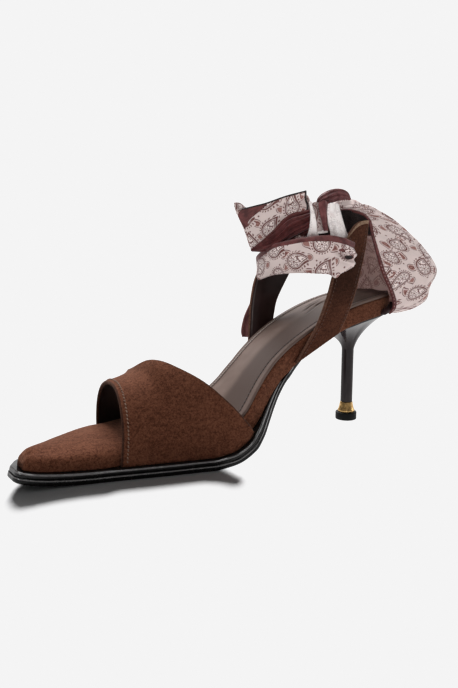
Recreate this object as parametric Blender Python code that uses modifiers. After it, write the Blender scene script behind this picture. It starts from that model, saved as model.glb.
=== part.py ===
"""Left open-toe stiletto sandal with two heel straps closed by a tied scarf.

Shoe frame, in millimetres: x runs from the toe tip (0) to the back of the seat, y from the outer
side (negative) to the inner side (positive), z up from the floor.  A "station" is a cross-section
at right angles to the sole's bottom line, and n is the height above that line in the station.
"""
import math

import bpy
import bmesh
import numpy as np

# ------------------------------------------------------------------ driving sizes (mm)
MM = 0.001
SOLE_LENGTH = 240.0        # toe tip to the back of the seat
HEEL_X = 212.0             # axis of the heel stem
GAP = 0.3                  # clearance between neighbouring pieces
OUTSOLE_T = 3.0
OUTSOLE_END = 187.0        # the outsole stops at the heel breast
WELT_END = 147.0
VAMP_T = 2.0
VAMP_LEDGE = 3.3           # welt showing outside the vamp
INSOLE_T = 1.5
INSOLE_START = 97.0
STRAP_T = 2.2
SCARF_T = 1.6
TIP_HEIGHT, TIP_R = 4.6, 6.5
RING_HEIGHT, RING_R_LOW, RING_R_TOP = 6.0, 5.3, 4.0
STEM_R, STEM_TOP_Z = 3.7, 44.0
CUP_HALF_WIDTH, CUP_BACK, CUP_FRONT = 19.0, 26.6, 23.2
ORIGIN_X, ORIGIN_Y = 131.22, 0.57   # middle of the whole sandal's box


def table(columns, rows):
    """A small table as named columns."""
    return {name: np.array([row[i] for row in rows], float)
            for i, name in enumerate(columns.split())}


# Bottom line of the sole and the outer edge of welt and board, by length.
SOLE = table("x z lateral medial", (
    (0.0, 4.2, -6.0, 0.0),
    (2.0, 3.8, -11.2, 5.4),
    (6.0, 3.0, -13.4, 12.0),
    (10.0, 2.3, -14.6, 16.0),
    (18.0, 1.2, -16.2, 20.8),
    (28.0, 0.35, -18.4, 26.2),
    (38.0, 0.0, -20.8, 30.8),
    (50.0, 0.0, -24.3, 36.0),
    (62.0, 0.0, -28.0, 40.2),
    (74.0, 0.0, -31.6, 43.0),
    (84.0, 0.0, -34.4, 43.4),
    (92.0, 0.0, -36.8, 41.6),
    (100.0, 1.2, -39.4, 37.6),
    (107.0, 3.8, -41.8, 32.4),
    (114.0, 7.8, -42.2, 26.2),
    (121.0, 13.0, -39.4, 20.4),
    (128.0, 18.9, -34.5, 16.2),
    (135.0, 24.9, -29.4, 14.2),
    (142.0, 30.6, -24.9, 14.2),
    (150.0, 36.3, -21.3, 15.8),
    (160.0, 42.4, -19.6, 18.2),
    (170.0, 47.7, -19.3, 20.0),
    (180.0, 52.4, -19.4, 20.6),
    (190.0, 56.4, -19.7, 20.4),
    (200.0, 59.5, -20.0, 20.2),
    (212.0, 62.0, -20.2, 20.2),
    (222.0, 63.3, -18.8, 18.8),
    (230.0, 63.9, -15.4, 15.4),
    (236.0, 64.1, -9.8, 9.8),
    (240.0, 64.2, -2.0, 2.0),
))

# Suede-wrapped board: how far it sits inside the sole's edge, its two faces, crown and edge radius.
BOARD = table("x ledge_lat ledge_med base top crown edge", (
    (0.0, 3.4, 3.6, 5.8, 13.0, 1.8, 4.8),
    (10.0, 3.4, 4.6, 5.8, 13.2, 1.8, 4.8),
    (30.0, 3.8, 3.4, 5.8, 13.2, 1.8, 4.8),
    (44.0, 4.0, 3.4, 5.8, 13.2, 1.8, 4.8),
    (51.0, 6.5, 3.8, 5.8, 13.1, 1.7, 4.8),
    (60.0, 6.5, 6.5, 5.8, 13.0, 1.6, 4.6),
    (92.0, 6.5, 6.5, 5.8, 12.8, 1.2, 4.2),
    (102.0, 6.5, 6.4, 5.8, 12.9, 0.8, 3.6),
    (109.0, 6.5, 4.2, 5.8, 13.0, 0.6, 3.0),
    (119.5, 6.3, 2.5, 5.7, 13.0, 0.4, 2.2),
    (127.0, 3.0, 1.8, 5.3, 13.0, 0.3, 1.7),
    (135.0, 1.6, 1.2, 4.9, 13.0, 0.2, 1.5),
    (147.0, 0.2, 0.2, 4.2, 13.0, -0.2, 1.4),
    (154.0, 0.0, 0.0, 3.3, 13.0, -0.4, 1.4),
    (240.0, 0.0, 0.0, 3.3, 13.0, -0.6, 1.2),
))

# How far the outsole draws in under the waist, and the insole inside the board.
INSETS = table("x outsole insole", (
    (0.0, 0.0, 5.4), (97.0, 0.0, 5.4), (113.0, 0.0, 4.0), (125.0, 0.0, 2.2), (140.0, 0.0, 1.3),
    (151.0, 0.2, 1.0), (159.0, 2.2, 0.9), (167.0, 4.8, 0.9), (187.0, 5.6, 0.9), (240.0, 5.6, 0.9),
))

# Vamp: front and rear edge of the band by girth (0 outer foot, 1 inner foot).
VAMP_EDGE = table("girth front rear", (
    (0.00, 50.0, 115.5), (0.12, 51.7, 106.0), (0.25, 53.2, 95.5), (0.38, 55.0, 84.5),
    (0.50, 56.9, 77.5), (0.62, 58.5, 76.5), (0.75, 60.0, 80.0), (0.88, 61.2, 85.0), (1.00, 62.0, 90.0),
))
# Vamp: crest of the instep by length, and how square its cross-section is.
VAMP_CREST = table("x crest_z crest_y power", (
    (40.0, 36.5, 5.0, 2.30), (57.0, 41.0, 4.0, 2.30), (66.0, 43.3, 3.0, 2.25), (72.0, 45.6, 2.4, 2.20),
    (78.0, 51.0, 2.0, 2.20), (92.0, 55.0, 0.5, 2.15), (116.0, 61.0, -3.0, 2.10),
))

# Heel straps: front and back edge from the waist up, and the strap's place across the foot.
STRAP_LATERAL = table("xf zf xb zb yf yb", (
    (155.8, 45.6, 185.0, 59.2, -20.95, -20.95),
    (162.6, 54.6, 187.4, 63.6, -21.0, -21.0),
    (169.6, 65.0, 190.4, 70.0, -21.5, -21.6),
    (175.4, 80.0, 194.0, 80.0, -22.8, -22.6),
    (178.8, 93.0, 197.2, 92.0, -23.8, -23.2),
    (185.6, 105.0, 201.4, 104.0, -24.0, -22.4),
    (192.8, 115.0, 205.2, 114.5, -23.0, -20.6),
    (199.0, 121.0, 205.4, 119.6, -21.8, -19.8),
))
STRAP_MEDIAL = table("xf zf xb zb yf yb", (
    (146.0, 38.6, 172.4, 53.0, 18.5, 22.2),
    (150.0, 51.4, 170.4, 60.8, 19.8, 22.2),
    (152.4, 63.0, 171.2, 67.2, 21.2, 22.4),
    (154.8, 75.0, 174.0, 75.6, 22.4, 23.0),
    (161.6, 88.6, 183.0, 89.4, 23.6, 23.8),
    (171.0, 101.0, 190.0, 101.0, 24.0, 23.4),
    (181.6, 112.0, 196.4, 110.8, 23.2, 21.8),
    (190.0, 118.4, 198.4, 116.2, 22.0, 20.8),
))

# Scarf panel behind the heel, one row for each height: edge, widest point and back, seen from above.
PANEL = table("z edge_x edge_y side_x side_y back_x", (
    (66.6, 227.5, 19.6, 237.5, 17.6, 244.5),
    (69.5, 229.5, 21.6, 243.0, 25.0, 252.0),
    (75.0, 229.0, 22.8, 247.0, 29.0, 257.5),
    (83.0, 225.0, 23.2, 250.0, 31.4, 261.0),
    (92.5, 219.6, 22.6, 250.0, 32.6, 261.0),
    (104.0, 214.4, 21.8, 243.5, 30.0, 254.0),
    (113.5, 209.6, 21.0, 235.0, 26.0, 245.0),
    (121.0, 208.4, 19.4, 228.0, 21.0, 236.5),
    (128.0, 209.0, 16.5, 220.0, 14.4, 225.5),
))

# Folded scarf band across the front of the ankle: path, height and thickness of the fold.
FRONT = table("x y z height thick", (
    (175.0, 28.0, 90.5, 12.0, 2.4),
    (166.6, 28.3, 91.0, 14.0, 2.6),
    (159.6, 26.6, 92.0, 15.5, 2.8),
    (157.4, 19.5, 95.0, 16.5, 3.4),
    (159.6, 9.0, 99.3, 17.0, 5.2),
    (163.2, -3.0, 101.8, 18.0, 6.0),
    (168.4, -14.0, 103.2, 19.5, 6.4),
    (175.0, -23.2, 103.6, 20.5, 5.6),
    (181.6, -27.6, 103.4, 18.0, 3.8),
    (188.6, -28.0, 103.6, 13.0, 2.4),
))

# Bow wing: from the knot out to the inner side.
BOW = table("x y z height thick", (
    (171.6, -5.2, 126.4, 20.0, 6.0),
    (168.0, 0.0, 124.6, 25.0, 8.0),
    (163.5, 6.0, 122.2, 25.0, 8.0),
    (158.0, 12.5, 120.2, 25.0, 7.0),
    (152.5, 19.0, 118.2, 24.5, 5.0),
    (148.2, 24.2, 119.6, 19.0, 3.0),
))

# Loop over the knot, back to the top of the panel.
LOOP = table("x y z height thick", (
    (186.0, -9.6, 128.6, 8.0, 6.0),
    (190.4, -9.4, 132.6, 9.0, 6.5),
    (196.6, -10.2, 133.6, 9.0, 6.5),
    (203.0, -12.0, 130.6, 9.0, 5.5),
    (207.0, -13.4, 128.0, 8.0, 4.0),
))

# Scarf end that hangs outside the inner strap.
TAIL = table("x y z width", (
    (163.0, 27.2, 82.0, 9.0),
    (158.6, 26.6, 75.0, 11.0),
    (155.8, 25.4, 65.0, 10.0),
    (154.6, 23.9, 54.0, 8.0),
))
KNOT_CENTRE, KNOT_RADII = (179.2, -11.4, 121.4), (6.4, 8.6, 9.6)


# ------------------------------------------------------------------ curves
def pchip(xs, ys):
    """Smooth curve through the points that makes no bump of its own between them."""
    step = np.diff(xs)
    slope = np.diff(ys) / step
    tangent = np.zeros(len(xs))
    for k in range(1, len(xs) - 1):
        if slope[k - 1] * slope[k] > 0:
            w1, w2 = 2 * step[k] + step[k - 1], step[k] + 2 * step[k - 1]
            tangent[k] = (w1 + w2) / (w1 / slope[k - 1] + w2 / slope[k])
    tangent[0], tangent[-1] = slope[0], slope[-1]

    def curve(x):
        x = min(max(float(x), xs[0]), xs[-1])
        k = min(max(int(np.searchsorted(xs, x, side="right")) - 1, 0), len(step) - 1)
        t = (x - xs[k]) / step[k]
        return (ys[k] * (1 + 2 * t) * (1 - t) ** 2 + ys[k + 1] * t * t * (3 - 2 * t)
                + step[k] * (tangent[k] * t * (1 - t) ** 2 - tangent[k + 1] * t * t * (1 - t)))
    return curve


def rows_curve(tab, names):
    """Curve through a table's rows; the argument runs from 0 to 1 over the rows."""
    knots = np.arange(len(tab[names[0]]), dtype=float)
    parts = [smooth(knots, tab[name]) for name in names]
    return lambda t: [part(t * knots[-1]) for part in parts]


def smooth(xs, ys):
    """Rounded curve through evenly spaced rows, with Catmull-Rom tangents."""
    tangent = np.gradient(ys, xs)

    def curve(x):
        x = min(max(float(x), xs[0]), xs[-1])
        k = min(int(x - xs[0]), len(xs) - 2)
        t = x - xs[k]
        return (ys[k] * (1 + 2 * t) * (1 - t) ** 2 + ys[k + 1] * t * t * (3 - 2 * t)
                + tangent[k] * t * (1 - t) ** 2 - tangent[k + 1] * t * t * (1 - t))
    return curve


def turn(x):
    """Length as an angle, so that a rounded toe and heel are straight lines in the table."""
    return math.acos(max(-1.0, min(1.0, 1 - 2 * x / SOLE_LENGTH)))


_turns = np.array([turn(x) for x in SOLE["x"]])
sole_z = pchip(SOLE["x"], SOLE["z"])
_lateral, _medial = pchip(_turns, SOLE["lateral"]), pchip(_turns, SOLE["medial"])


def edge_lateral(x):
    return _lateral(turn(x))


def edge_medial(x):
    return _medial(turn(x))


board = {name: pchip(BOARD["x"], BOARD[name]) for name in BOARD if name != "x"}
inset = {name: pchip(INSETS["x"], INSETS[name]) for name in INSETS if name != "x"}


def slope_angle(x):
    return math.atan((sole_z(x + 0.5) - sole_z(x - 0.5)) / (min(x + 0.5, SOLE_LENGTH) - max(x - 0.5, 0.0)))


def at_station(x, y, n):
    """Point at height n above the sole's bottom line, at right angles to it."""
    a = slope_angle(x)
    return (x - n * math.sin(a), y, sole_z(x) + n * math.cos(a))


def inset_edges(distance_lat, distance_med):
    """The sole's edge moved inwards by a distance that may change along the length."""
    xs = [SOLE_LENGTH * 0.5 * (1 - math.cos(math.pi * i / 400)) for i in range(401)]
    moved = []
    for edge, distance, side in ((edge_lateral, distance_lat, 1), (edge_medial, distance_med, -1)):
        pts = np.array([(x, edge(x)) for x in xs])
        tangent = np.gradient(pts, axis=0)
        tangent /= np.linalg.norm(tangent, axis=1)[:, None]
        normal = np.stack([-tangent[:, 1], tangent[:, 0]], 1) * side
        moved.append(pts + normal * np.array([distance(x) for x in xs])[:, None])
    lat, med = moved
    start, end = max(lat[0, 0], med[0, 0]), min(lat[-1, 0], med[-1, 0])
    return (lambda x: float(np.interp(x, lat[:, 0], lat[:, 1])),
            lambda x: float(np.interp(x, med[:, 0], med[:, 1])), start, end)


def stations(start, end, count):
    """Stations closer together at a rounded toe or heel."""
    a, b = turn(start), turn(end)
    return [SOLE_LENGTH * 0.5 * (1 - math.cos(a + (b - a) * i / (count - 1))) for i in range(count)]


# ------------------------------------------------------------------ mesh builders
def new_object(name, mesh, material):
    obj = bpy.data.objects.new(name, mesh)
    mesh.materials.append(material)
    parts.objects.link(obj)
    obj.parent = root
    return obj


def material(name, colour, roughness, metallic=0.0):
    mat = bpy.data.materials.new(name)
    mat.use_nodes = True
    shader = mat.node_tree.nodes["Principled BSDF"]
    shader.inputs["Base Color"].default_value = (*colour, 1.0)
    shader.inputs["Roughness"].default_value = roughness
    shader.inputs["Metallic"].default_value = metallic
    mat.diffuse_color = (*colour, 1.0)
    return mat


def loft(name, rings, mat):
    """Closed solid through rings with the same number of points, capped at both ends."""
    bm = bmesh.new()
    rows = [[bm.verts.new([c * MM for c in p]) for p in ring] for ring in rings]
    count = len(rows[0])
    for a, b in zip(rows, rows[1:]):
        for k in range(count):
            bm.faces.new((a[k], a[(k + 1) % count], b[(k + 1) % count], b[k]))
    bm.faces.new(rows[0])
    bm.faces.new(list(reversed(rows[-1])))
    bmesh.ops.recalc_face_normals(bm, faces=bm.faces)
    bmesh.ops.triangulate(bm, faces=[f for f in bm.faces if len(f.verts) > 4])
    mesh = bpy.data.meshes.new(name)
    bm.to_mesh(mesh)
    bm.free()
    mesh.shade_smooth()
    mesh.set_sharp_from_angle(angle=math.radians(40))
    return new_object(name, mesh, mat)


def shell(name, grid, thickness, mat):
    """Open surface from rows of points, given its thickness by Solidify."""
    bm = bmesh.new()
    rows = [[bm.verts.new([c * MM for c in p]) for p in row] for row in grid]
    for a, b in zip(rows, rows[1:]):
        for k in range(len(a) - 1):
            bm.faces.new((a[k], a[k + 1], b[k + 1], b[k]))
    bmesh.ops.recalc_face_normals(bm, faces=bm.faces)
    mesh = bpy.data.meshes.new(name)
    bm.to_mesh(mesh)
    bm.free()
    mesh.shade_smooth()
    obj = new_object(name, mesh, mat)
    mod = obj.modifiers.new("wall", "SOLIDIFY")
    mod.thickness = thickness * MM
    mod.offset = 0.0
    mod.use_even_offset = True
    mod.use_quality_normals = True
    mod.use_rim = True
    return obj


def turned(name, profile, centre, mat, steps=32):
    """Turned piece: a profile from the axis, down its outer side and back to the axis."""
    bm = bmesh.new()
    verts = [bm.verts.new((r * MM, 0.0, z * MM)) for r, z in profile]
    for a, b in zip(verts, verts[1:]):
        bm.edges.new((a, b))
    mesh = bpy.data.meshes.new(name)
    bm.to_mesh(mesh)
    bm.free()
    obj = new_object(name, mesh, mat)
    obj.location = (centre[0] * MM, centre[1] * MM, 0.0)
    mod = obj.modifiers.new("turn", "SCREW")
    mod.axis = "Z"
    mod.steps = mod.render_steps = steps
    mod.use_merge_vertices = True
    mod.merge_threshold = 0.00001
    mod.use_normal_calculate = True
    return obj


def plate_ring(x, lat, med, base, top, r_top, r_base, crown=0.0, flat=6, arc=4):
    """Cross-section of a plate with rounded edges and a crowned top, at one station."""
    room = 0.48 * min(top - base, med - lat)
    r_top, r_base = min(r_top, room), min(r_base, room)
    pts = [(lat + r_base + (med - lat - 2 * r_base) * i / flat, base) for i in range(flat + 1)]

    def corner(cy, cn, r, start):
        return [(cy + r * math.cos(math.radians(start + 90 * i / arc)),
                 cn + r * math.sin(math.radians(start + 90 * i / arc))) for i in range(1, arc + 1)]
    pts += corner(med - r_base, base + r_base, r_base, -90)
    pts += [(med, top - r_top)] + corner(med - r_top, top - r_top, r_top, 0)
    for i in range(1, flat):
        s = 1 - 2 * i / flat
        pts.append(((lat + med) / 2 + s * ((med - lat) / 2 - r_top), top + crown * (1 - s * s)))
    pts += [(lat + r_top, top)] + corner(lat + r_top, top - r_top, r_top, 90)
    pts += [(lat, base + r_base)] + corner(lat + r_base, base + r_base, r_base, 180)[:-1]
    return [at_station(x, y, n) for y, n in pts]


def fold_ring(point, along, height, thick, count=12, power=0.75):
    """Upright lens-shaped section of folded cloth, across its path."""
    side = np.array((-along[1], along[0], 0.0))
    side /= np.linalg.norm(side)
    up = np.array((0.0, 0.0, 1.0))
    ring = []
    for k in range(count):
        a = 2 * math.pi * (k + 0.5) / count
        c, s = math.cos(a), math.sin(a)
        ring.append(np.array(point) + up * 0.5 * height * math.copysign(abs(s) ** power, s)
                    + side * 0.5 * thick * math.copysign(abs(c) ** power, c))
    return ring


def fold(name, tab, count, mat):
    """Folded cloth along the path in a table."""
    path = rows_curve(tab, ("x", "y", "z", "height", "thick"))
    rings = []
    for i in range(count):
        t = i / (count - 1)
        x, y, z, height, thick = path(t)
        ahead, behind = path(min(t + 0.01, 1)), path(max(t - 0.01, 0))
        along = np.array(ahead[:3]) - np.array(behind[:3])
        rings.append(fold_ring((x, y, z), along, height, thick))
    return loft(name, rings, mat)


# ------------------------------------------------------------------ scene
for old in list(bpy.data.objects):
    bpy.data.objects.remove(old, do_unlink=True)
parts = bpy.data.collections.new("stiletto_sandal")
bpy.context.scene.collection.children.link(parts)
root = bpy.data.objects.new("sandal_frame", None)
root.location = (-ORIGIN_X * MM, -ORIGIN_Y * MM, 0.0)
parts.objects.link(root)

black_sole = material("black_sole", (0.016, 0.014, 0.014), 0.35)
black_welt = material("black_welt", (0.018, 0.015, 0.014), 0.25)
suede = material("brown_suede", (0.095, 0.036, 0.019), 0.95)
sock = material("taupe_leather", (0.135, 0.100, 0.088), 0.55)
lacquer = material("black_lacquer", (0.012, 0.009, 0.008), 0.12)
gold = material("gold_metal", (0.62, 0.40, 0.14), 0.22, 1.0)
rubber = material("black_rubber", (0.012, 0.012, 0.012), 0.6)
silk = material("printed_silk", (0.62, 0.52, 0.50), 0.6)
silk_dark = material("oxblood_silk", (0.085, 0.020, 0.020), 0.6)

# ------------------------------------------------------------------ sole, welt, board and insole
sole_lat, sole_med, _, _ = inset_edges(inset["outsole"], inset["outsole"])
rings = [plate_ring(x, sole_lat(x), sole_med(x), 0.0, OUTSOLE_T, 1.2, 1.0, flat=4, arc=3)
         for x in stations(0.0, OUTSOLE_END, 38)]
loft("outsole", rings, black_sole)

rings = [plate_ring(x, sole_lat(x), sole_med(x), OUTSOLE_T + GAP, board["base"](x) - GAP, 1.0, 1.0, flat=4, arc=3)
         for x in stations(0.0, WELT_END, 33)]
loft("welt", rings, black_welt)

board_lat, board_med, board_start, board_end = inset_edges(board["ledge_lat"], board["ledge_med"])
rings = [plate_ring(x, board_lat(x), board_med(x), board["base"](x), board["top"](x), board["edge"](x), 0.6,
                    board["crown"](x), flat=6, arc=4)
         for x in stations(board_start + 0.02, board_end - 0.02, 41)]
loft("footbed", rings, suede)


def insole_ring(x):
    """Thin sock that follows the board's crowned top."""
    lat, med = board_lat(x), board_med(x)
    r, crown = min(board["edge"](x), 0.45 * (med - lat)), board["crown"](x)
    y0, y1 = lat + inset["insole"](x), med - inset["insole"](x)
    mid, half = (lat + med) / 2, (med - lat) / 2 - r
    count = 10

    def top_of_board(y):
        s = min(1.0, abs(y - mid) / max(half, 0.5))
        return board["top"](x) + crown * (1 - s * s) + max(0.0, crown) * 0.06
    ys = [y0 + (y1 - y0) * i / count for i in range(count + 1)]
    low = [(y, top_of_board(y) + GAP) for y in ys]
    high = [(y, top_of_board(y) + GAP + INSOLE_T) for y in reversed(ys)]
    return [at_station(x, y, n) for y, n in low + high]


loft("insole", [insole_ring(x) for x in stations(INSOLE_START, 238.0, 30)], sock)

# ------------------------------------------------------------------ vamp
_foot = [at_station(x, 0.0, board["base"](x)) for x in np.linspace(20.0, 150.0, 261)]
_foot_x, _foot_z = [p[0] for p in _foot], [p[2] for p in _foot]
_foot_s = np.linspace(20.0, 150.0, 261)
vamp_front = pchip(VAMP_EDGE["girth"], VAMP_EDGE["front"])
vamp_rear = pchip(VAMP_EDGE["girth"], VAMP_EDGE["rear"])
crest = {name: pchip(VAMP_CREST["x"], VAMP_CREST[name]) for name in ("crest_z", "crest_y", "power")}


def vamp_point(girth, v):
    """Point on the middle of the vamp's wall: girth from the outer to the inner foot, v front to rear."""
    x = vamp_front(girth) + (vamp_rear(girth) - vamp_front(girth)) * v
    station = float(np.interp(x, _foot_x, _foot_s))
    base = float(np.interp(x, _foot_x, _foot_z))
    reach = VAMP_LEDGE + VAMP_T / 2
    lat, med = edge_lateral(station) + reach, edge_medial(station) - reach
    mid, power = crest["crest_y"](x), crest["power"](x)
    a = math.pi * girth
    c, s = math.cos(a), max(0.0, math.sin(a))
    half = (mid - lat) if c > 0 else (med - mid)
    y = mid - math.copysign(abs(c) ** (2 / power), c) * half
    return (x, y, base + (crest["crest_z"](x) - base) * s ** (2 / power))


VAMP_GIRTH_STEPS, VAMP_LENGTH_STEPS = 28, 10


def girth_step(i):
    """Closer steps near the feet, where the wall turns up."""
    t = i / VAMP_GIRTH_STEPS
    return t - 0.055 * math.sin(2 * math.pi * t)


shell("vamp", [[vamp_point(girth_step(i), j / VAMP_LENGTH_STEPS) for j in range(VAMP_LENGTH_STEPS + 1)]
               for i in range(VAMP_GIRTH_STEPS + 1)], VAMP_T, suede)


# ------------------------------------------------------------------ heel straps
def strap(name, tab, mat, rows=18, columns=5):
    path = rows_curve(tab, ("xf", "zf", "xb", "zb", "yf", "yb"))
    grid = []
    for i in range(rows + 1):
        xf, zf, xb, zb, yf, yb = path(i / rows)
        grid.append([(xf + (xb - xf) * j / columns, yf + (yb - yf) * j / columns, zf + (zb - zf) * j / columns)
                     for j in range(columns + 1)])
    shell(name, grid, STRAP_T, mat)


strap("strap_lateral", STRAP_LATERAL, suede)
strap("strap_medial", STRAP_MEDIAL, suede)

# ------------------------------------------------------------------ heel
HEEL_SIDES = 32
RING_TOP_Z = TIP_HEIGHT + GAP + RING_HEIGHT
STEM_BOTTOM_Z = RING_TOP_Z + GAP


def cup_outline(angle):
    """Heel seat seen from above: round behind, nearly square at the breast."""
    c, s = math.cos(angle), math.sin(angle)
    power = 2.2 if c > 0 else 3.4
    reach = CUP_BACK if c > 0 else CUP_FRONT
    return (HEEL_X + reach * math.copysign(abs(c) ** (2 / power), c),
            CUP_HALF_WIDTH * math.copysign(abs(s) ** (2 / power), s))


def heel_ring(level):
    """Ring of the heel; level 1 is the seat, 0 the top of the stem, below 0 the stem."""
    ring = []
    for k in range(HEEL_SIDES):
        angle = 2 * math.pi * k / HEEL_SIDES
        stem = (HEEL_X + STEM_R * math.cos(angle), STEM_R * math.sin(angle))
        if level < 0:
            ring.append((*stem, STEM_TOP_Z + level * (STEM_TOP_Z - STEM_BOTTOM_Z)))
            continue
        seat = cup_outline(angle)
        seat_z = at_station(seat[0], 0.0, OUTSOLE_T)[2] - 0.1
        flare = 0.08 * level + 0.92 * level ** 2.1
        ring.append((stem[0] + (seat[0] - stem[0]) * flare, stem[1] + (seat[1] - stem[1]) * flare,
                     STEM_TOP_Z + (seat_z - STEM_TOP_Z) * level))
    return ring


heel_rings = [heel_ring(level) for level in (1.0, 0.97, 0.92, 0.84, 0.74, 0.62, 0.48, 0.34, 0.2, 0.08,
                                             0.0, -0.3, -0.65, -1.0)]
bm = bmesh.new()
rows = [[bm.verts.new([c * MM for c in p]) for p in ring] for ring in heel_rings]
for a, b in zip(rows, rows[1:]):
    for k in range(HEEL_SIDES):
        bm.faces.new((a[k], a[(k + 1) % HEEL_SIDES], b[(k + 1) % HEEL_SIDES], b[k]))
seat_mid = bm.verts.new((HEEL_X * MM, 0.0, (at_station(HEEL_X, 0.0, OUTSOLE_T)[2] - 0.4) * MM))
stem_mid = bm.verts.new((HEEL_X * MM, 0.0, STEM_BOTTOM_Z * MM))
for k in range(HEEL_SIDES):
    bm.faces.new((rows[0][k], rows[0][(k + 1) % HEEL_SIDES], seat_mid))
    bm.faces.new((rows[-1][k], rows[-1][(k + 1) % HEEL_SIDES], stem_mid))
bmesh.ops.recalc_face_normals(bm, faces=bm.faces)
heel_mesh = bpy.data.meshes.new("heel")
bm.to_mesh(heel_mesh)
bm.free()
heel_mesh.shade_smooth()
heel_mesh.set_sharp_from_angle(angle=math.radians(50))
new_object("heel", heel_mesh, lacquer)

turned("heel_ring", [(0.0, RING_TOP_Z), (RING_R_TOP - 0.4, RING_TOP_Z), (RING_R_TOP, RING_TOP_Z - 0.5),
                     (RING_R_LOW - 0.5, TIP_HEIGHT + GAP + 1.6), (RING_R_LOW, TIP_HEIGHT + GAP + 0.9),
                     (RING_R_LOW - 0.2, TIP_HEIGHT + GAP), (0.0, TIP_HEIGHT + GAP)], (HEEL_X, 0.0), gold)
turned("heel_tip", [(0.0, TIP_HEIGHT), (TIP_R - 0.9, TIP_HEIGHT), (TIP_R - 0.3, TIP_HEIGHT - 0.6),
                    (TIP_R, TIP_HEIGHT - 1.6), (TIP_R, 0.5), (TIP_R - 0.5, 0.0), (0.0, 0.0)], (HEEL_X, 0.0), rubber)

# ------------------------------------------------------------------ scarf
PANEL_ROWS, PANEL_COLUMNS = 13, 20
panel_row = rows_curve(PANEL, ("z", "edge_x", "edge_y", "side_x", "side_y", "back_x"))
panel_grid = []
for i in range(PANEL_ROWS + 1):
    z, ex, ey, sx, sy, bx = panel_row(i / PANEL_ROWS)
    across = rows_curve({"x": np.array((ex, (ex + sx) / 2, sx, (sx + 2 * bx) / 3, bx, (sx + 2 * bx) / 3, sx, (ex + sx) / 2, ex)),
                         "y": np.array((-ey, -(ey + sy) / 2 - 1.0, -sy, -sy * 0.62, 0.0, sy * 0.62, sy, (ey + sy) / 2 + 1.0, ey))},
                        ("x", "y"))
    panel_grid.append([(*across(j / PANEL_COLUMNS), z) for j in range(PANEL_COLUMNS + 1)])
shell("scarf_heel", panel_grid, SCARF_T, silk)

fold("scarf_front", FRONT, 22, silk)
fold("scarf_bow", BOW, 12, silk)
fold("scarf_loop", LOOP, 12, silk)

bm = bmesh.new()
bmesh.ops.create_uvsphere(bm, u_segments=18, v_segments=12, radius=1.0)
for v in bm.verts:
    v.co = [(KNOT_CENTRE[i] + KNOT_RADII[i] * v.co[i]) * MM for i in range(3)]
knot_mesh = bpy.data.meshes.new("scarf_knot")
bm.to_mesh(knot_mesh)
bm.free()
knot_mesh.shade_smooth()
new_object("scarf_knot", knot_mesh, silk)

tail_row = rows_curve(TAIL, ("x", "y", "z", "width"))
tail_grid = []
for i in range(11):
    x, y, z, width = tail_row(i / 10)
    tail_grid.append([(x + width * (j / 4 - 0.5), y, z - width * 0.12 * (j / 4 - 0.5)) for j in range(5)])
shell("scarf_tail", tail_grid, SCARF_T, silk_dark)
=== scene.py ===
"""Looks of a left open-toe stiletto sandal whose heel straps are closed by a tied scarf.

Shoe frame, in millimetres: x from the toe tip towards the heel, y from the outer side (negative) to the
inner side (positive), z up from the floor.  row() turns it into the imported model's frame, in metres.
"""
import math

import bmesh
import bpy
import numpy as np
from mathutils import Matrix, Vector


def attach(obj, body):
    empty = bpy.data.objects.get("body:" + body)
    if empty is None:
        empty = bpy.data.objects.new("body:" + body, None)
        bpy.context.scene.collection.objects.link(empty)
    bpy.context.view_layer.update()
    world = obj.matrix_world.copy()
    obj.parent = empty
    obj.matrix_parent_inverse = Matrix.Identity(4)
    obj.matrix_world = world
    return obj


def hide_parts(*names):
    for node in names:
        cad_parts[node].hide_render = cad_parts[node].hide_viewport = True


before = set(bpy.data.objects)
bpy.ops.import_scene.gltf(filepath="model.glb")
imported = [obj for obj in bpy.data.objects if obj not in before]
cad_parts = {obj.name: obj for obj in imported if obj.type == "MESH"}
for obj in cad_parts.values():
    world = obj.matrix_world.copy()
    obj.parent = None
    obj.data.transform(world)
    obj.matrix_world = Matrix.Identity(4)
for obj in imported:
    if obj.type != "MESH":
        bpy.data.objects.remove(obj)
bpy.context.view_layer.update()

MM = 0.001
ORIGIN_X, ORIGIN_Y = 131.22, 0.57
SOLE_LENGTH = 240.0
HEEL_X = 212.0
GAP = 0.3
OUTSOLE_T = 3.0
OUTSOLE_END = 187.0
WELT_END = 147.0
VAMP_T = 2.0
VAMP_LEDGE = 3.3
INSOLE_T = 1.5
INSOLE_START = 97.0
STRAP_T = 2.2
TIP_HEIGHT, TIP_R = 4.6, 6.5
RING_HEIGHT, RING_R_LOW, RING_R_TOP = 6.0, 5.3, 4.0
STEM_R, STEM_TOP_Z = 3.7, 44.0
CUP_HALF_WIDTH, CUP_BACK, CUP_FRONT = 19.0, 26.6, 23.2


def row(p):
    return ((p[0] - ORIGIN_X) * MM, (p[1] - ORIGIN_Y) * MM, p[2] * MM)


def table(columns, rows):
    return {name: np.array([r[i] for r in rows], float) for i, name in enumerate(columns.split())}


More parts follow.
